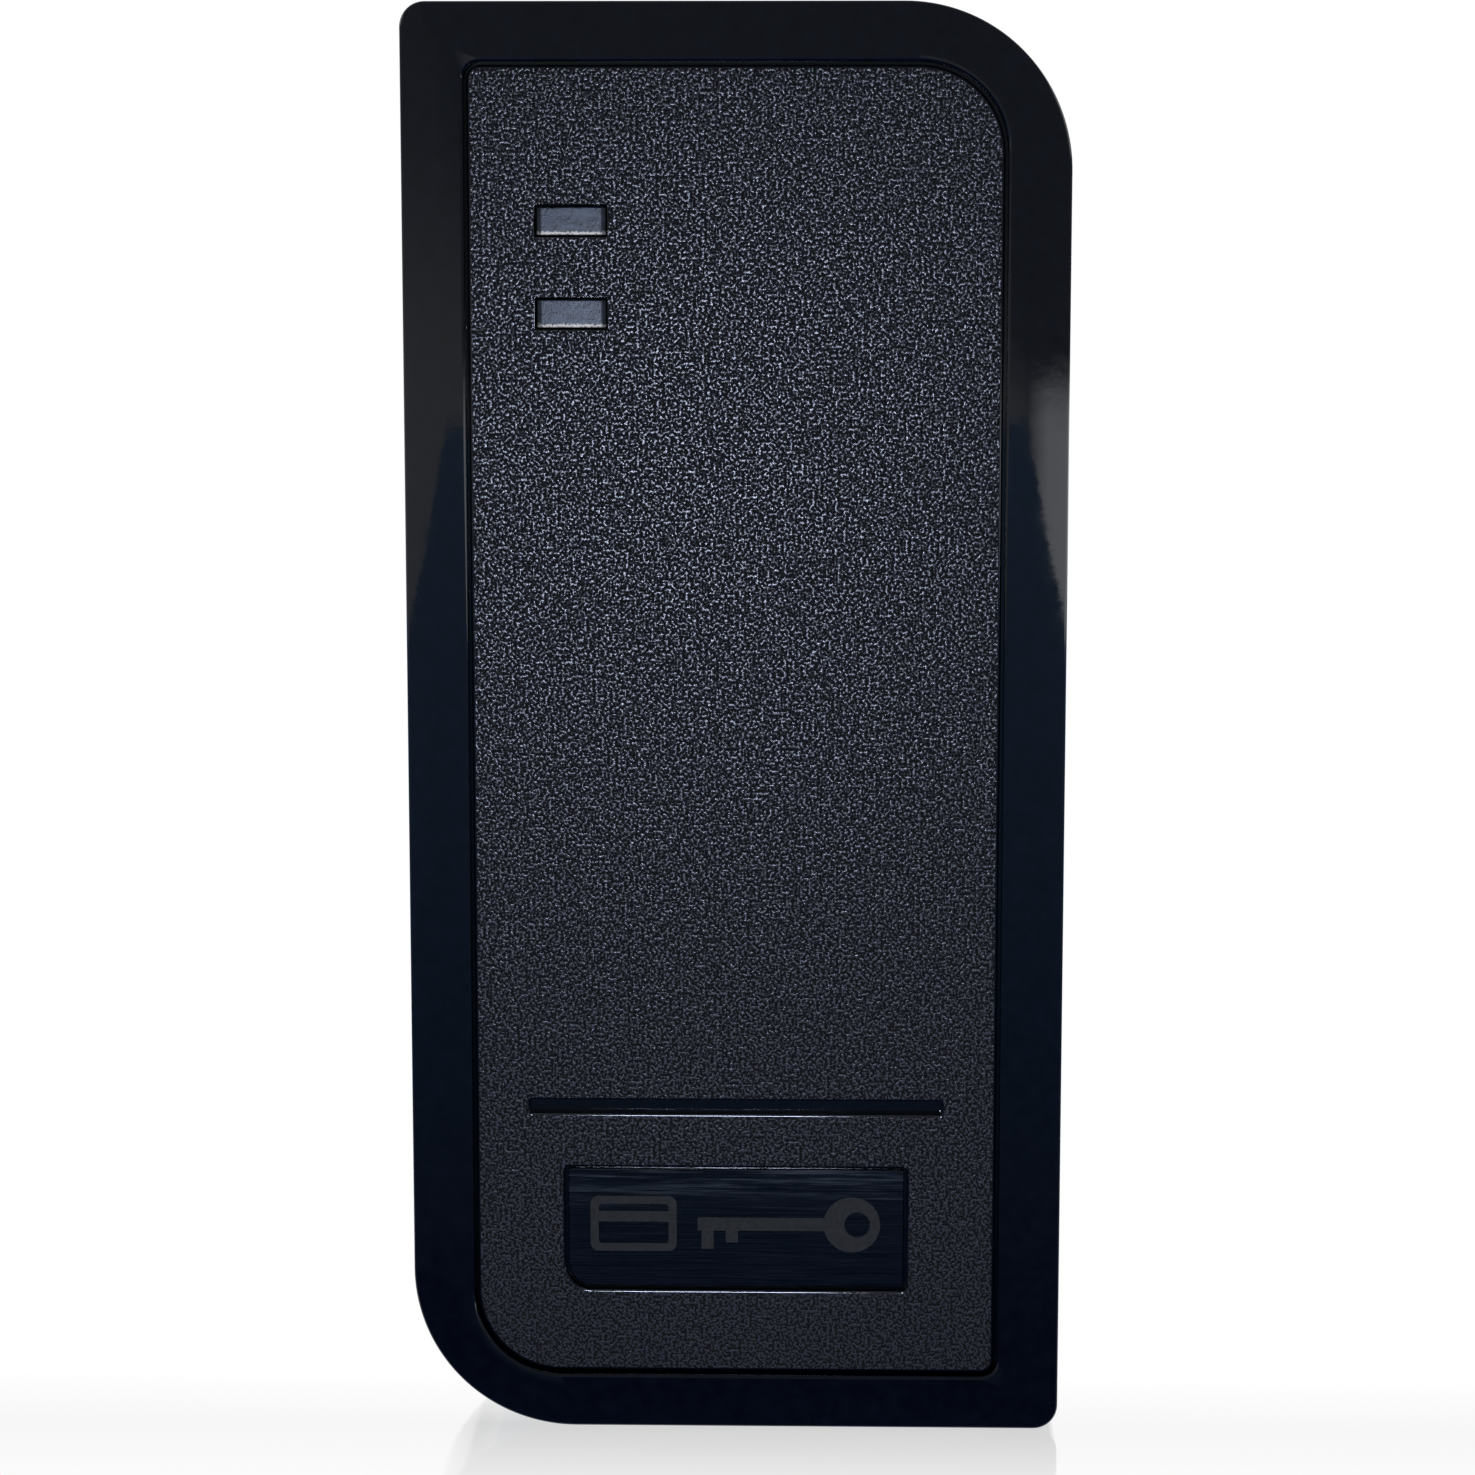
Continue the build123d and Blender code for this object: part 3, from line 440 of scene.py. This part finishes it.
def key_mark():
    """A plain key: a ring, a shank and two teeth."""
    ring = circle(KEY_RING_RADIUS, KEY_RING_X, MARK_Y, 48)
    mark = prism("mark_key", ring, MARK_BACK, MARK_FRONT)
    eye = circle(KEY_EYE_RADIUS, KEY_EYE_X, MARK_Y, 32)
    combine(mark, [prism("c", eye, MARK_BACK - PAST, MARK_FRONT + PAST)])
    parts = [prism("c", box_outline(*KEY_SHANK, KEY_SHANK_X, MARK_Y), MARK_BACK, MARK_FRONT)]
    for x, width, length in KEY_TEETH:
        tooth = box_outline(width, length, x, MARK_Y - length / 2)
        parts.append(prism("c", tooth, MARK_BACK, MARK_FRONT))
    return combine(mark, parts, "UNION")


# ---------------------------------------------------------------- materials


class Nodes:
    """Short ways to make the nodes of one tree and join them."""

    def __init__(self, tree):
        self.tree = tree

    def new(self, kind):
        return self.tree.nodes.new(kind)

    def feed(self, value, socket):
        """Sets a socket to a number or a colour, or joins another node's output to it."""
        if isinstance(value, (int, float)):
            socket.default_value = value
        elif isinstance(value, tuple):
            socket.default_value = (*value, 1)
        else:
            self.tree.links.new(value, socket)

    def ramp(self, value, low, high, to_low, to_high, smooth=False):
        node = self.new("ShaderNodeMapRange")
        if smooth:
            node.interpolation_type = "SMOOTHSTEP"
        amounts = {"From Min": low, "From Max": high, "To Min": to_low, "To Max": to_high}
        for name, amount in amounts.items():
            self.feed(amount, node.inputs[name])
        self.feed(value, node.inputs["Value"])
        return node.outputs["Result"]

    def maths(self, operation, a, b=0.0):
        node = self.new("ShaderNodeMath")
        node.operation = operation
        self.feed(a, node.inputs[0])
        self.feed(b, node.inputs[1])
        return node.outputs[0]

    def mix(self, factor, a, b):
        """A blend of two colours, whose sockets are the node's seventh and eighth inputs."""
        node = self.new("ShaderNodeMix")
        node.data_type = "RGBA"
        self.feed(factor, node.inputs[0])
        self.feed(a, node.inputs[6])
        self.feed(b, node.inputs[7])
        return node.outputs[2]

    def axes(self, place):
        """The X, Y and Z of a place or a direction."""
        node = self.new("ShaderNodeSeparateXYZ")
        self.feed(place, node.inputs[0])
        return tuple(node.outputs)


class Look(Nodes):
    """A procedural material whose pattern follows the row frame, in metres."""

    def __init__(self, name, base, rough, metallic=0.0, **sockets):
        self.name = name
        self.material = bpy.data.materials.new(name)
        self.material.use_nodes = True
        super().__init__(self.material.node_tree)
        self.shader = self.tree.nodes["Principled BSDF"]
        self.feed(base, self.shader.inputs["Base Color"])
        self.feed(rough, self.shader.inputs["Roughness"])
        self.feed(metallic, self.shader.inputs["Metallic"])
        for socket, value in sockets.items():
            self.feed(value, self.shader.inputs[socket.replace("_", " ")])
        self.place = self.new("ShaderNodeTexCoord").outputs["Object"]
        self.colour = None
        self.normal = None

    def mapped(self, scale):
        mapping = self.new("ShaderNodeMapping")
        mapping.inputs["Scale"].default_value = scale
        self.feed(self.place, mapping.inputs["Vector"])
        return mapping.outputs["Vector"]

    def noise(self, scale, detail=2.0, rough=0.5, stretch=(1, 1, 1)):
        node = self.new("ShaderNodeTexNoise")
        node.inputs["Scale"].default_value = 1.0
        node.inputs["Detail"].default_value = detail
        node.inputs["Roughness"].default_value = rough
        self.feed(self.mapped([scale * s for s in stretch]), node.inputs["Vector"])
        return node.outputs["Fac"]

    def cells(self, scale, stretch=(1, 1, 1)):
        """The distance to the edge of the nearest cell."""
        node = self.new("ShaderNodeTexVoronoi")
        node.feature = "DISTANCE_TO_EDGE"
        node.inputs["Scale"].default_value = 1.0
        self.feed(self.mapped([scale * s for s in stretch]), node.inputs["Vector"])
        return node.outputs["Distance"]

    def waves(self, per_metre, direction, distortion=0.0):
        node = self.new("ShaderNodeTexWave")
        node.bands_direction = direction
        node.inputs["Scale"].default_value = 1.0
        node.inputs["Distortion"].default_value = distortion
        self.feed(self.mapped([per_metre] * 3), node.inputs["Vector"])
        return node.outputs["Fac"]

    def paint(self, colour):
        self.colour = colour
        self.feed(colour, self.shader.inputs["Base Color"])
        return self

    def tint(self, value, low_colour, high_colour, low=0.3, high=0.7):
        return self.paint(self.mix(self.ramp(value, low, high, 0, 1), low_colour, high_colour))

    def rough(self, value, low, high, a=0.3, b=0.7):
        self.feed(self.ramp(value, a, b, low, high), self.shader.inputs["Roughness"])
        return self

    def bump(self, value, distance):
        node = self.new("ShaderNodeBump")
        node.inputs["Distance"].default_value = distance
        self.feed(value, node.inputs["Height"])
        if self.normal:
            self.feed(self.normal, node.inputs["Normal"])
        self.normal = node.outputs["Normal"]
        self.feed(self.normal, self.shader.inputs["Normal"])
        return self


WHITE = (1.0, 1.0, 1.0)


def shade(colour, factor):
    return tuple(c * factor for c in colour)


def moulded(name, base, rough, grain=4000, depth=6e-6, spread=0.18):
    """Moulded plastic or rubber with a fine grain and uneven sheen."""
    look = Look(name, base, rough)
    fine = look.noise(grain, 3)
    broad = look.noise(grain / 6, 2)
    look.tint(broad, shade(base, 1 - spread), shade(base, 1 + spread))
    look.rough(broad, rough - 0.06, rough + 0.06)
    return look.bump(fine, depth)


METAL_LINE_DEPTH = 2e-6


def metal(name, base, rough, grain=6000, stretch=(1, 1, 0.05)):
    """Drawn, plated or turned metal, with fine lines along it."""
    look = Look(name, base, rough, 1.0)
    lines = look.noise(grain, 2, stretch=stretch)
    stains = look.noise(400, 3)
    look.tint(stains, shade(base, 0.8), shade(base, 1.1))
    look.rough(lines, rough - 0.08, rough + 0.12)
    return look.bump(lines, METAL_LINE_DEPTH)


GLOSS_BLACK = (0.0014, 0.0019, 0.0042)


def housing_look():
    """Piano black with faint smudges and a slight orange peel."""
    look = Look("housing_gloss", GLOSS_BLACK, 0.05, IOR=1.5)
    smudge = look.noise(420, 4, 0.6)
    peel = look.noise(500, 3)
    look.tint(look.noise(900, 4, 0.65), shade(GLOSS_BLACK, 0.6), shade(GLOSS_BLACK, 1.6))
    look.rough(smudge, 0.015, 0.06)
    return look.bump(peel, 2.4e-6)


PANEL_BLACK = (0.005, 0.0065, 0.0115)


def grain_and_painted_glints_look():
    """A coarse spark-eroded grain: shiny specks on a dull ground; the specks are also painted lighter,
    as painted glints.
    """
    look = Look("panel_textured", PANEL_BLACK, 0.5, IOR=1.4)
    grain = look.noise(4900, 2, 0.5)
    # painted glints: the grain's high points are painted up to 1.5 times the panel's black, a painted
    # highlight on top of their lower roughness
    look.tint(grain, shade(PANEL_BLACK, 0.1), shade(PANEL_BLACK, 1.5), 0.46, 0.66)
    look.rough(grain, 1.0, 0.2, 0.47, 0.62)
    return look.bump(grain, 3e-5)


def panel_edge_look():
    """The smooth, glossy walls of the panel's rim and cuts, painted a fifth as light as the grained
    face: partly their smooth gloss, partly painted shade in the groove and the recesses.
    """
    # painted shade: the base colour is darkened to a fifth of the panel's black so that the groove's and
    # the recess's floors look black
    look = Look("panel_edge", shade(PANEL_BLACK, 0.2), 0.07, IOR=1.5)
    look.rough(look.noise(1500, 2), 0.05, 0.09)
    return look.bump(look.noise(5000, 2), 1.5e-6)


def nameplate_look():
    """Gloss with fine brushing along X, and pale scuffs towards the upper edge."""
    base = (0.0013, 0.0021, 0.0055)
    look = Look("nameplate_gloss", base, 0.12, IOR=1.5)
    streaks = look.noise(9000, 3, 0.6, stretch=(0.018, 1, 1))
    look.tint(streaks, shade(base, 0.6), shade(base, 2.2), 0.4, 0.75)
    z = look.axes(look.place)[2]
    upper = look.ramp(z, (RECESS_Y + 1.0) * MM, (RECESS_Y + 4.2) * MM, 0.0, 1.0)
    scuffs = look.ramp(look.noise(4200, 4, 0.7, stretch=(0.03, 1, 1)), 0.5, 0.72, 0.0, 1.0)
    look.paint(look.mix(look.maths("MULTIPLY", scuffs, upper), look.colour, (0.035, 0.045, 0.062)))
    look.rough(streaks, 0.07, 0.2)
    return look.bump(streaks, 1.4e-5)


def mark_look():
    """The dull grey print of the nameplate's mark."""
    base = (0.0165, 0.0195, 0.025)
    look = Look("nameplate_mark", base, 0.6, IOR=1.35)
    look.tint(look.noise(2500, 3), shade(base, 0.8), shade(base, 1.2))
    return look.bump(look.noise(9000, 2, stretch=(0.05, 1, 1)), 2e-6)


LAMP_CLEAR_HALF = 2.1  # to either side of the lamp's middle
LAMP_END_HALF = 2.25
LAMP_END_SHARE = 0.35
# where the painted highlight along each lamp's lower edge ends
LAMP_PAINTED_GLINT_EDGE = (0.372, 0.39)  # how far up from midway below the lamp, in shares of the lamps' pitch


def lamp_look():
    """Clear epoxy with cloudy streaks, darker at both ends, with a painted highlight: a jagged white
    strip along the lower edge.
    """
    base = (0.012, 0.021, 0.038)
    look = Look("lamp_epoxy", base, 0.1, IOR=1.55, Transmission_Weight=0.04)
    mottle = look.noise(1900, 5, 0.75, stretch=(0.5, 1, 1.6))
    look.tint(mottle, shade(base, 0.3), shade(base, 2.8), 0.36, 0.66)
    x, _, z = look.axes(look.place)
    aside = look.maths("ABSOLUTE", look.maths("SUBTRACT", x, LED_X * MM))
    ends = look.ramp(aside, LAMP_CLEAR_HALF * MM, LAMP_END_HALF * MM, 1.0, LAMP_END_SHARE)
    pitch = (LED_ROWS[0] - LED_ROWS[1]) * MM
    height = look.maths("SUBTRACT", z, LED_ROWS[1] * MM - pitch / 2)
    level = look.maths("FRACT", look.maths("DIVIDE", height, pitch))
    jagged = look.noise(5200, 2, 0.6, stretch=(1, 0.2, 0.6))
    level = look.maths("ADD", level, look.ramp(jagged, 0.3, 0.7, -0.02, 0.02))
    # painted highlight: a white strip along the lamp's lower edge stands in for light caught inside the
    # epoxy at its lower wall
    painted_glint = look.ramp(level, *LAMP_PAINTED_GLINT_EDGE, 1.0, 0.0)
    painted_glint = look.maths("MULTIPLY", painted_glint, look.ramp(jagged, 0.3, 0.62, 0.25, 1.0))
    dark = look.mix(ends, (0.004, 0.005, 0.008), look.colour)
    look.paint(look.mix(look.maths("MULTIPLY", painted_glint, ends), dark, WHITE))
    look.rough(ends, 0.7, 0.22, LAMP_END_SHARE, 1.0)
    return look.bump(look.noise(3600, 4, 0.7), 1.7e-5)


def board_look():
    """Green solder mask over tracks and a fine weave."""
    base = (0.012, 0.1, 0.045)
    look = Look("circuit_board", base, 0.3)
    tracks = look.cells(450, stretch=(1, 0.01, 1))
    look.tint(tracks, (0.03, 0.2, 0.09), base, 0.02, 0.09)
    weave = look.waves(2600, "X")
    look.bump(weave, 2e-6)
    return look.bump(tracks, 8e-6)


def winding_look():
    """Enamelled copper turns, one on another, with painted shade in the grooves between them."""
    base = (0.62, 0.22, 0.07)
    look = Look("copper_wire", base, 0.28, 1.0)
    turns = look.waves(9000, "Y", 0.3)
    # painted shade: the grooves between the turns are painted down to about a third of the copper's
    # colour
    look.tint(turns, shade(base, 0.35), base, 0.1, 0.5)
    return look.bump(turns, 4e-5)


# Each slot's colour, roughness, grain per metre, bump depth in metres and spread of the colour
MOULDED = {
    "adhesive_tape": ((0.7, 0.68, 0.6), 0.6, 3000, 5e-6, 0.1),
    "black_plastic": ((0.018, 0.018, 0.02), 0.4),
    "former_plastic": ((0.72, 0.69, 0.6), 0.45, 2500, 5e-6, 0.08),
    "foam": ((0.06, 0.06, 0.065), 0.9, 3500, 6e-5, 0.4),
    "chip_epoxy": ((0.014, 0.014, 0.015), 0.55, 7000, 5e-6),
    "capacitor_moulding": ((0.7, 0.36, 0.05), 0.4, 4000, 4e-6, 0.12),
    "passive_ceramic": ((0.45, 0.34, 0.24), 0.4, 6000, 4e-6),
    "header_plastic": ((0.72, 0.7, 0.62), 0.4, 3000, 4e-6, 0.08),
    "plunger_plastic": ((0.78, 0.78, 0.75), 0.35, 4000, 4e-6, 0.06),
    "gasket_rubber": ((0.02, 0.02, 0.022), 0.75, 4000, 1e-5),
    "cover_plastic": ((0.016, 0.0165, 0.018), 0.42, 3500, 9e-6),
    "grommet_rubber": ((0.02, 0.02, 0.022), 0.65, 3000, 1.2e-5),
    "plate_plastic": ((0.018, 0.0185, 0.02), 0.38, 2800, 1.4e-5),
}

# Each slot's colour, roughness, lines per metre and how the lines are stretched along X, Y and Z
METALS = {
    "tinned_metal": ((0.7, 0.69, 0.66), 0.28),
    "zinc_steel": ((0.6, 0.61, 0.64), 0.3, 5000, (1, 0.2, 1)),
    "crystal_can": ((0.74, 0.73, 0.71), 0.24, 5000, (0.05, 1, 1)),
    "spring_steel": ((0.66, 0.66, 0.67), 0.2, 9000, (1, 0.1, 1)),
    "insert_brass": ((0.72, 0.52, 0.22), 0.25, 5000, (1, 1, 0.1)),
    "black_steel": ((0.05, 0.05, 0.055), 0.35, 4000, (1, 1, 1)),
}


def looks():
    """Each of the record's material slots, with its look."""
    made = [housing_look(), grain_and_painted_glints_look(), nameplate_look(), lamp_look(), board_look(), winding_look()]
    made += [moulded(name, *values) for name, values in MOULDED.items()]
    made += [metal(name, *values) for name, values in METALS.items()]
    return {look.name: look for look in made}


LOOKS = looks()
for part in frame["record"]["subparts"]:
    mesh = frame["nodes"][part["node"]].data
    mesh.materials.clear()
    mesh.materials.append(LOOKS[part["material_slot"]].material)

WELD_DISTANCE = 1e-7
ROUNDED_ANGLE = math.radians(50)

# The CAD pieces whose edges are drawn rounded, and by how many millimetres
ROUNDED_NODES = {
    "wall_plate": 0.25,
    "rear_cover": 0.2,
    "wire_header": 0.12,
    "led_holder": 0.12,
    "tamper_switch_body": 0.15,
    "microcontroller": 0.08,
    "rf_front_end_chip": 0.08,
    "crystal": 0.08,
    "smd_passives": 0.05,
    "coil_former": 0.08,
    "pcb": 0.06,
    "nameplate_adhesive": 0.02,
    "security_insert": 0.08,
}
for node, width in ROUNDED_NODES.items():
    piece = frame["nodes"][node]
    weld = piece.modifiers.new("weld", "WELD")
    weld.merge_threshold = WELD_DISTANCE
    rounding = piece.modifiers.new("rounding", "BEVEL")
    rounding.width = width * MM
    rounding.segments = 2
    rounding.limit_method = "ANGLE"
    rounding.angle_limit = ROUNDED_ANGLE

shell = housing_shell()
shell.data.materials.clear()
shell.data.materials.append(LOOKS["housing_gloss"].material)
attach(shell, "reader")
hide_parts("front_housing")

panel = panel_insert()
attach(panel, "reader")
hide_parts("face_panel")

MARK = mark_look().material
for mark in (card_mark(), key_mark()):
    finish_mesh(mark, angle=35)
    mark.data.materials.clear()
    mark.data.materials.append(MARK)
    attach(mark, "reader")


# ---------------------------------------------------------------- floor, light and camera


# How much the floor mirrors along Y, as (from, to, share at from, share at to)
FLOOR_FADE = (-0.036, -0.0165, 0.06, 0.36)
FLOOR_END = (-0.016, -0.004, 1.0, 0.0)
FLOOR_SIZE = 6.0


def floor_look():
    """A white glow that turns into a soft mirror just in front of the reader."""
    material = bpy.data.materials.new("pale_floor")
    material.use_nodes = True
    material.node_tree.nodes.clear()
    kit = Nodes(material.node_tree)
    y = kit.axes(kit.new("ShaderNodeTexCoord").outputs["Object"])[1]
    share = kit.maths("MULTIPLY", kit.ramp(y, *FLOOR_FADE), kit.ramp(y, *FLOOR_END))
    glow = kit.new("ShaderNodeEmission")
    gloss = kit.new("ShaderNodeBsdfGlossy")
    gloss.inputs["Roughness"].default_value = 0.06
    surface = kit.new("ShaderNodeMixShader")
    kit.feed(share, surface.inputs[0])
    kit.feed(glow.outputs[0], surface.inputs[1])
    kit.feed(gloss.outputs[0], surface.inputs[2])
    output = kit.new("ShaderNodeOutputMaterial")
    kit.feed(surface.outputs[0], output.inputs[0])
    return material


floor_level = -HEIGHT / 2 * MM
corners = box_outline(2 * FLOOR_SIZE, 2 * FLOOR_SIZE)
mesh = bpy.data.meshes.new("floor")
mesh.from_pydata([(x, y, floor_level) for x, y in corners], [], [(0, 1, 2, 3)])
mesh.materials.append(floor_look())
floor = bpy.data.objects.new("floor", mesh)
bpy.context.scene.collection.objects.link(floor)
floor.visible_glossy = False
floor.visible_diffuse = False
floor.visible_transmission = False

BAND_EDGE = -0.062  # where the mirrored band's sharp lower edge is, straight ahead
BAND_BOTTOM = -0.064
EDGE_BLUR = 0.0015
BAND_BLUE = (0.86, 1.02, 1.3)
BAND_PALE = (0.98, 1.0, 1.08)
DEEP_BLUE = (0.012, 0.03, 0.09)
LOW_BLUE = (0.15, 0.25, 0.42)
FLOOR_PALE = (0.5, 0.53, 0.6)


def band_strength(kit, x, z):
    """How bright the band is: strongest to the right, fading upwards and dim to the left."""
    peak = kit.ramp(x, 0.1, 0.6, 0.46, 1.82)
    rest = kit.ramp(x, -0.3, 0.0, 0.2, 0.155)
    fades = kit.ramp(x, -0.1, 0.06, 0.03, -0.0465)
    return kit.ramp(z, BAND_BOTTOM, fades, peak, rest, True)


def studio_world():
    """White for the camera. The glossy pieces mirror a dark front with a bright band low down in it.

    x, y and z are the looking direction. The band's lower edge is sharp and drops away to both sides.
    """
    world = bpy.data.worlds.new("studio")
    bpy.context.scene.world = world
    world.use_nodes = True
    world.node_tree.nodes.clear()
    kit = Nodes(world.node_tree)
    x, y, z = kit.axes(kit.new("ShaderNodeTexCoord").outputs["Generated"])

    drop = kit.maths("MULTIPLY", kit.maths("POWER", kit.maths("ABSOLUTE", x), 1.3), 0.06)
    over = kit.maths("SUBTRACT", z, kit.maths("SUBTRACT", BAND_EDGE, drop))
    above = kit.ramp(over, -EDGE_BLUR, EDGE_BLUR, 0.0, 1.0)
    band = band_strength(kit, x, z)
    strength = kit.maths("MULTIPLY", above, band)
    lit = kit.new("ShaderNodeVectorMath")
    lit.operation = "SCALE"
    kit.feed(kit.mix(kit.ramp(strength, 0.1, 0.4, 0.0, 1.0), BAND_BLUE, BAND_PALE), lit.inputs[0])
    kit.feed(band, lit.inputs["Scale"])
    below = kit.mix(kit.ramp(z, -0.3, -0.07, 0.0, 1.0), DEEP_BLUE, LOW_BLUE)
    ahead = kit.mix(above, below, lit.outputs[0])

    # the white sweep behind the object, which the floor mirrors, and the top and the back in other views
    behind = kit.ramp(y, -0.2, 0.0, 0.0, 1.0)
    rising = kit.ramp(z, 0.07, 0.11, 0.0, 1.0)
    falling = kit.ramp(z, 0.42, 0.5, 1.0, 0.0)
    sweep = kit.maths("MULTIPLY", behind, kit.maths("MULTIPLY", rising, falling))
    mirrored = kit.mix(sweep, ahead, WHITE)

    # the pale floor behind the object, which the side walls mirror when they are seen from above
    under = kit.maths("MULTIPLY", kit.ramp(y, 0.0, 0.25, 0.0, 1.0), kit.ramp(z, -0.22, -0.4, 0.0, 1.0))
    mirrored = kit.mix(under, mirrored, FLOOR_PALE)

    rays = kit.new("ShaderNodeLightPath")
    soft = kit.mix(rays.outputs["Is Diffuse Ray"], mirrored, WHITE)
    seen = kit.mix(rays.outputs["Is Camera Ray"], soft, WHITE)
    background = kit.new("ShaderNodeBackground")
    output = kit.new("ShaderNodeOutputWorld")
    kit.feed(seen, background.inputs["Color"])
    kit.feed(background.outputs[0], output.inputs[0])


FRONT_SIZE = (0.04, 0.046)
FRONT_PLACE = (-0.013, -0.420, -0.008)
FRONT_AIM = (-0.013, 0.0, -0.008)
FRONT_COLOUR = (0.87, 0.96, 1.24)
TOP_SIZE = (0.36, 0.36)
TOP_PLACE = (0.0, -0.01, 0.3)
TOP_AIM = (0.0, -0.01, 0.0)
TOP_COLOUR = (0.85, 0.94, 1.12)


def softbox(name, size, place, aim, power, colour):
    light = bpy.data.lights.new(name, "AREA")
    light.shape = "RECTANGLE"
    light.size, light.size_y = size
    light.energy = power
    light.color = colour
    lamp = bpy.data.objects.new(name, light)
    lamp.location = place
    lamp.rotation_euler = (Vector(aim) - Vector(place)).to_track_quat("-Z", "Y").to_euler()
    bpy.context.scene.collection.objects.link(lamp)
    return lamp


def light_only(name, pieces, lights):
    """Lets these lights reach only these pieces."""
    group = bpy.data.collections.new(name)
    for piece in pieces:
        group.objects.link(piece)
    for light in lights:
        light.light_linking.receiver_collection = group


studio_world()
front = softbox("front_softbox", FRONT_SIZE, FRONT_PLACE, FRONT_AIM, 0.8, FRONT_COLOUR)
lamp_light = softbox("lamp_softbox", FRONT_SIZE, FRONT_PLACE, FRONT_AIM, 0.12, FRONT_COLOUR)
top = softbox("top_softbox", TOP_SIZE, TOP_PLACE, TOP_AIM, 0.4, TOP_COLOUR)
light_only("lit_panel", [panel], [top, front])
light_only("lit_lamps", [frame["nodes"]["led_upper"], frame["nodes"]["led_lower"]], [lamp_light])

# The camera stands a little above the middle and a little to the right, as in the photograph.
TARGET = Vector((0.122, -17.0, -0.269)) * MM
DISTANCE = 0.280
AZIMUTH = math.radians(1.405)
ELEVATION = math.radians(8.34)
FOCAL_LENGTH = 93.87
SENSOR_WIDTH = 36.0
away = Vector(
    (
        math.sin(AZIMUTH) * math.cos(ELEVATION),
        -math.cos(AZIMUTH) * math.cos(ELEVATION),
        math.sin(ELEVATION),
    )
)
lens = bpy.data.cameras.new("camera")
lens.lens = FOCAL_LENGTH
lens.sensor_width = SENSOR_WIDTH
lens.clip_start = 0.01
camera = bpy.data.objects.new("camera", lens)
camera.location = TARGET + DISTANCE * away
camera.rotation_euler = away.to_track_quat("Z", "Y").to_euler()
bpy.context.scene.collection.objects.link(camera)
bpy.context.scene.camera = camera
bpy.context.scene.view_settings.view_transform = "Standard"
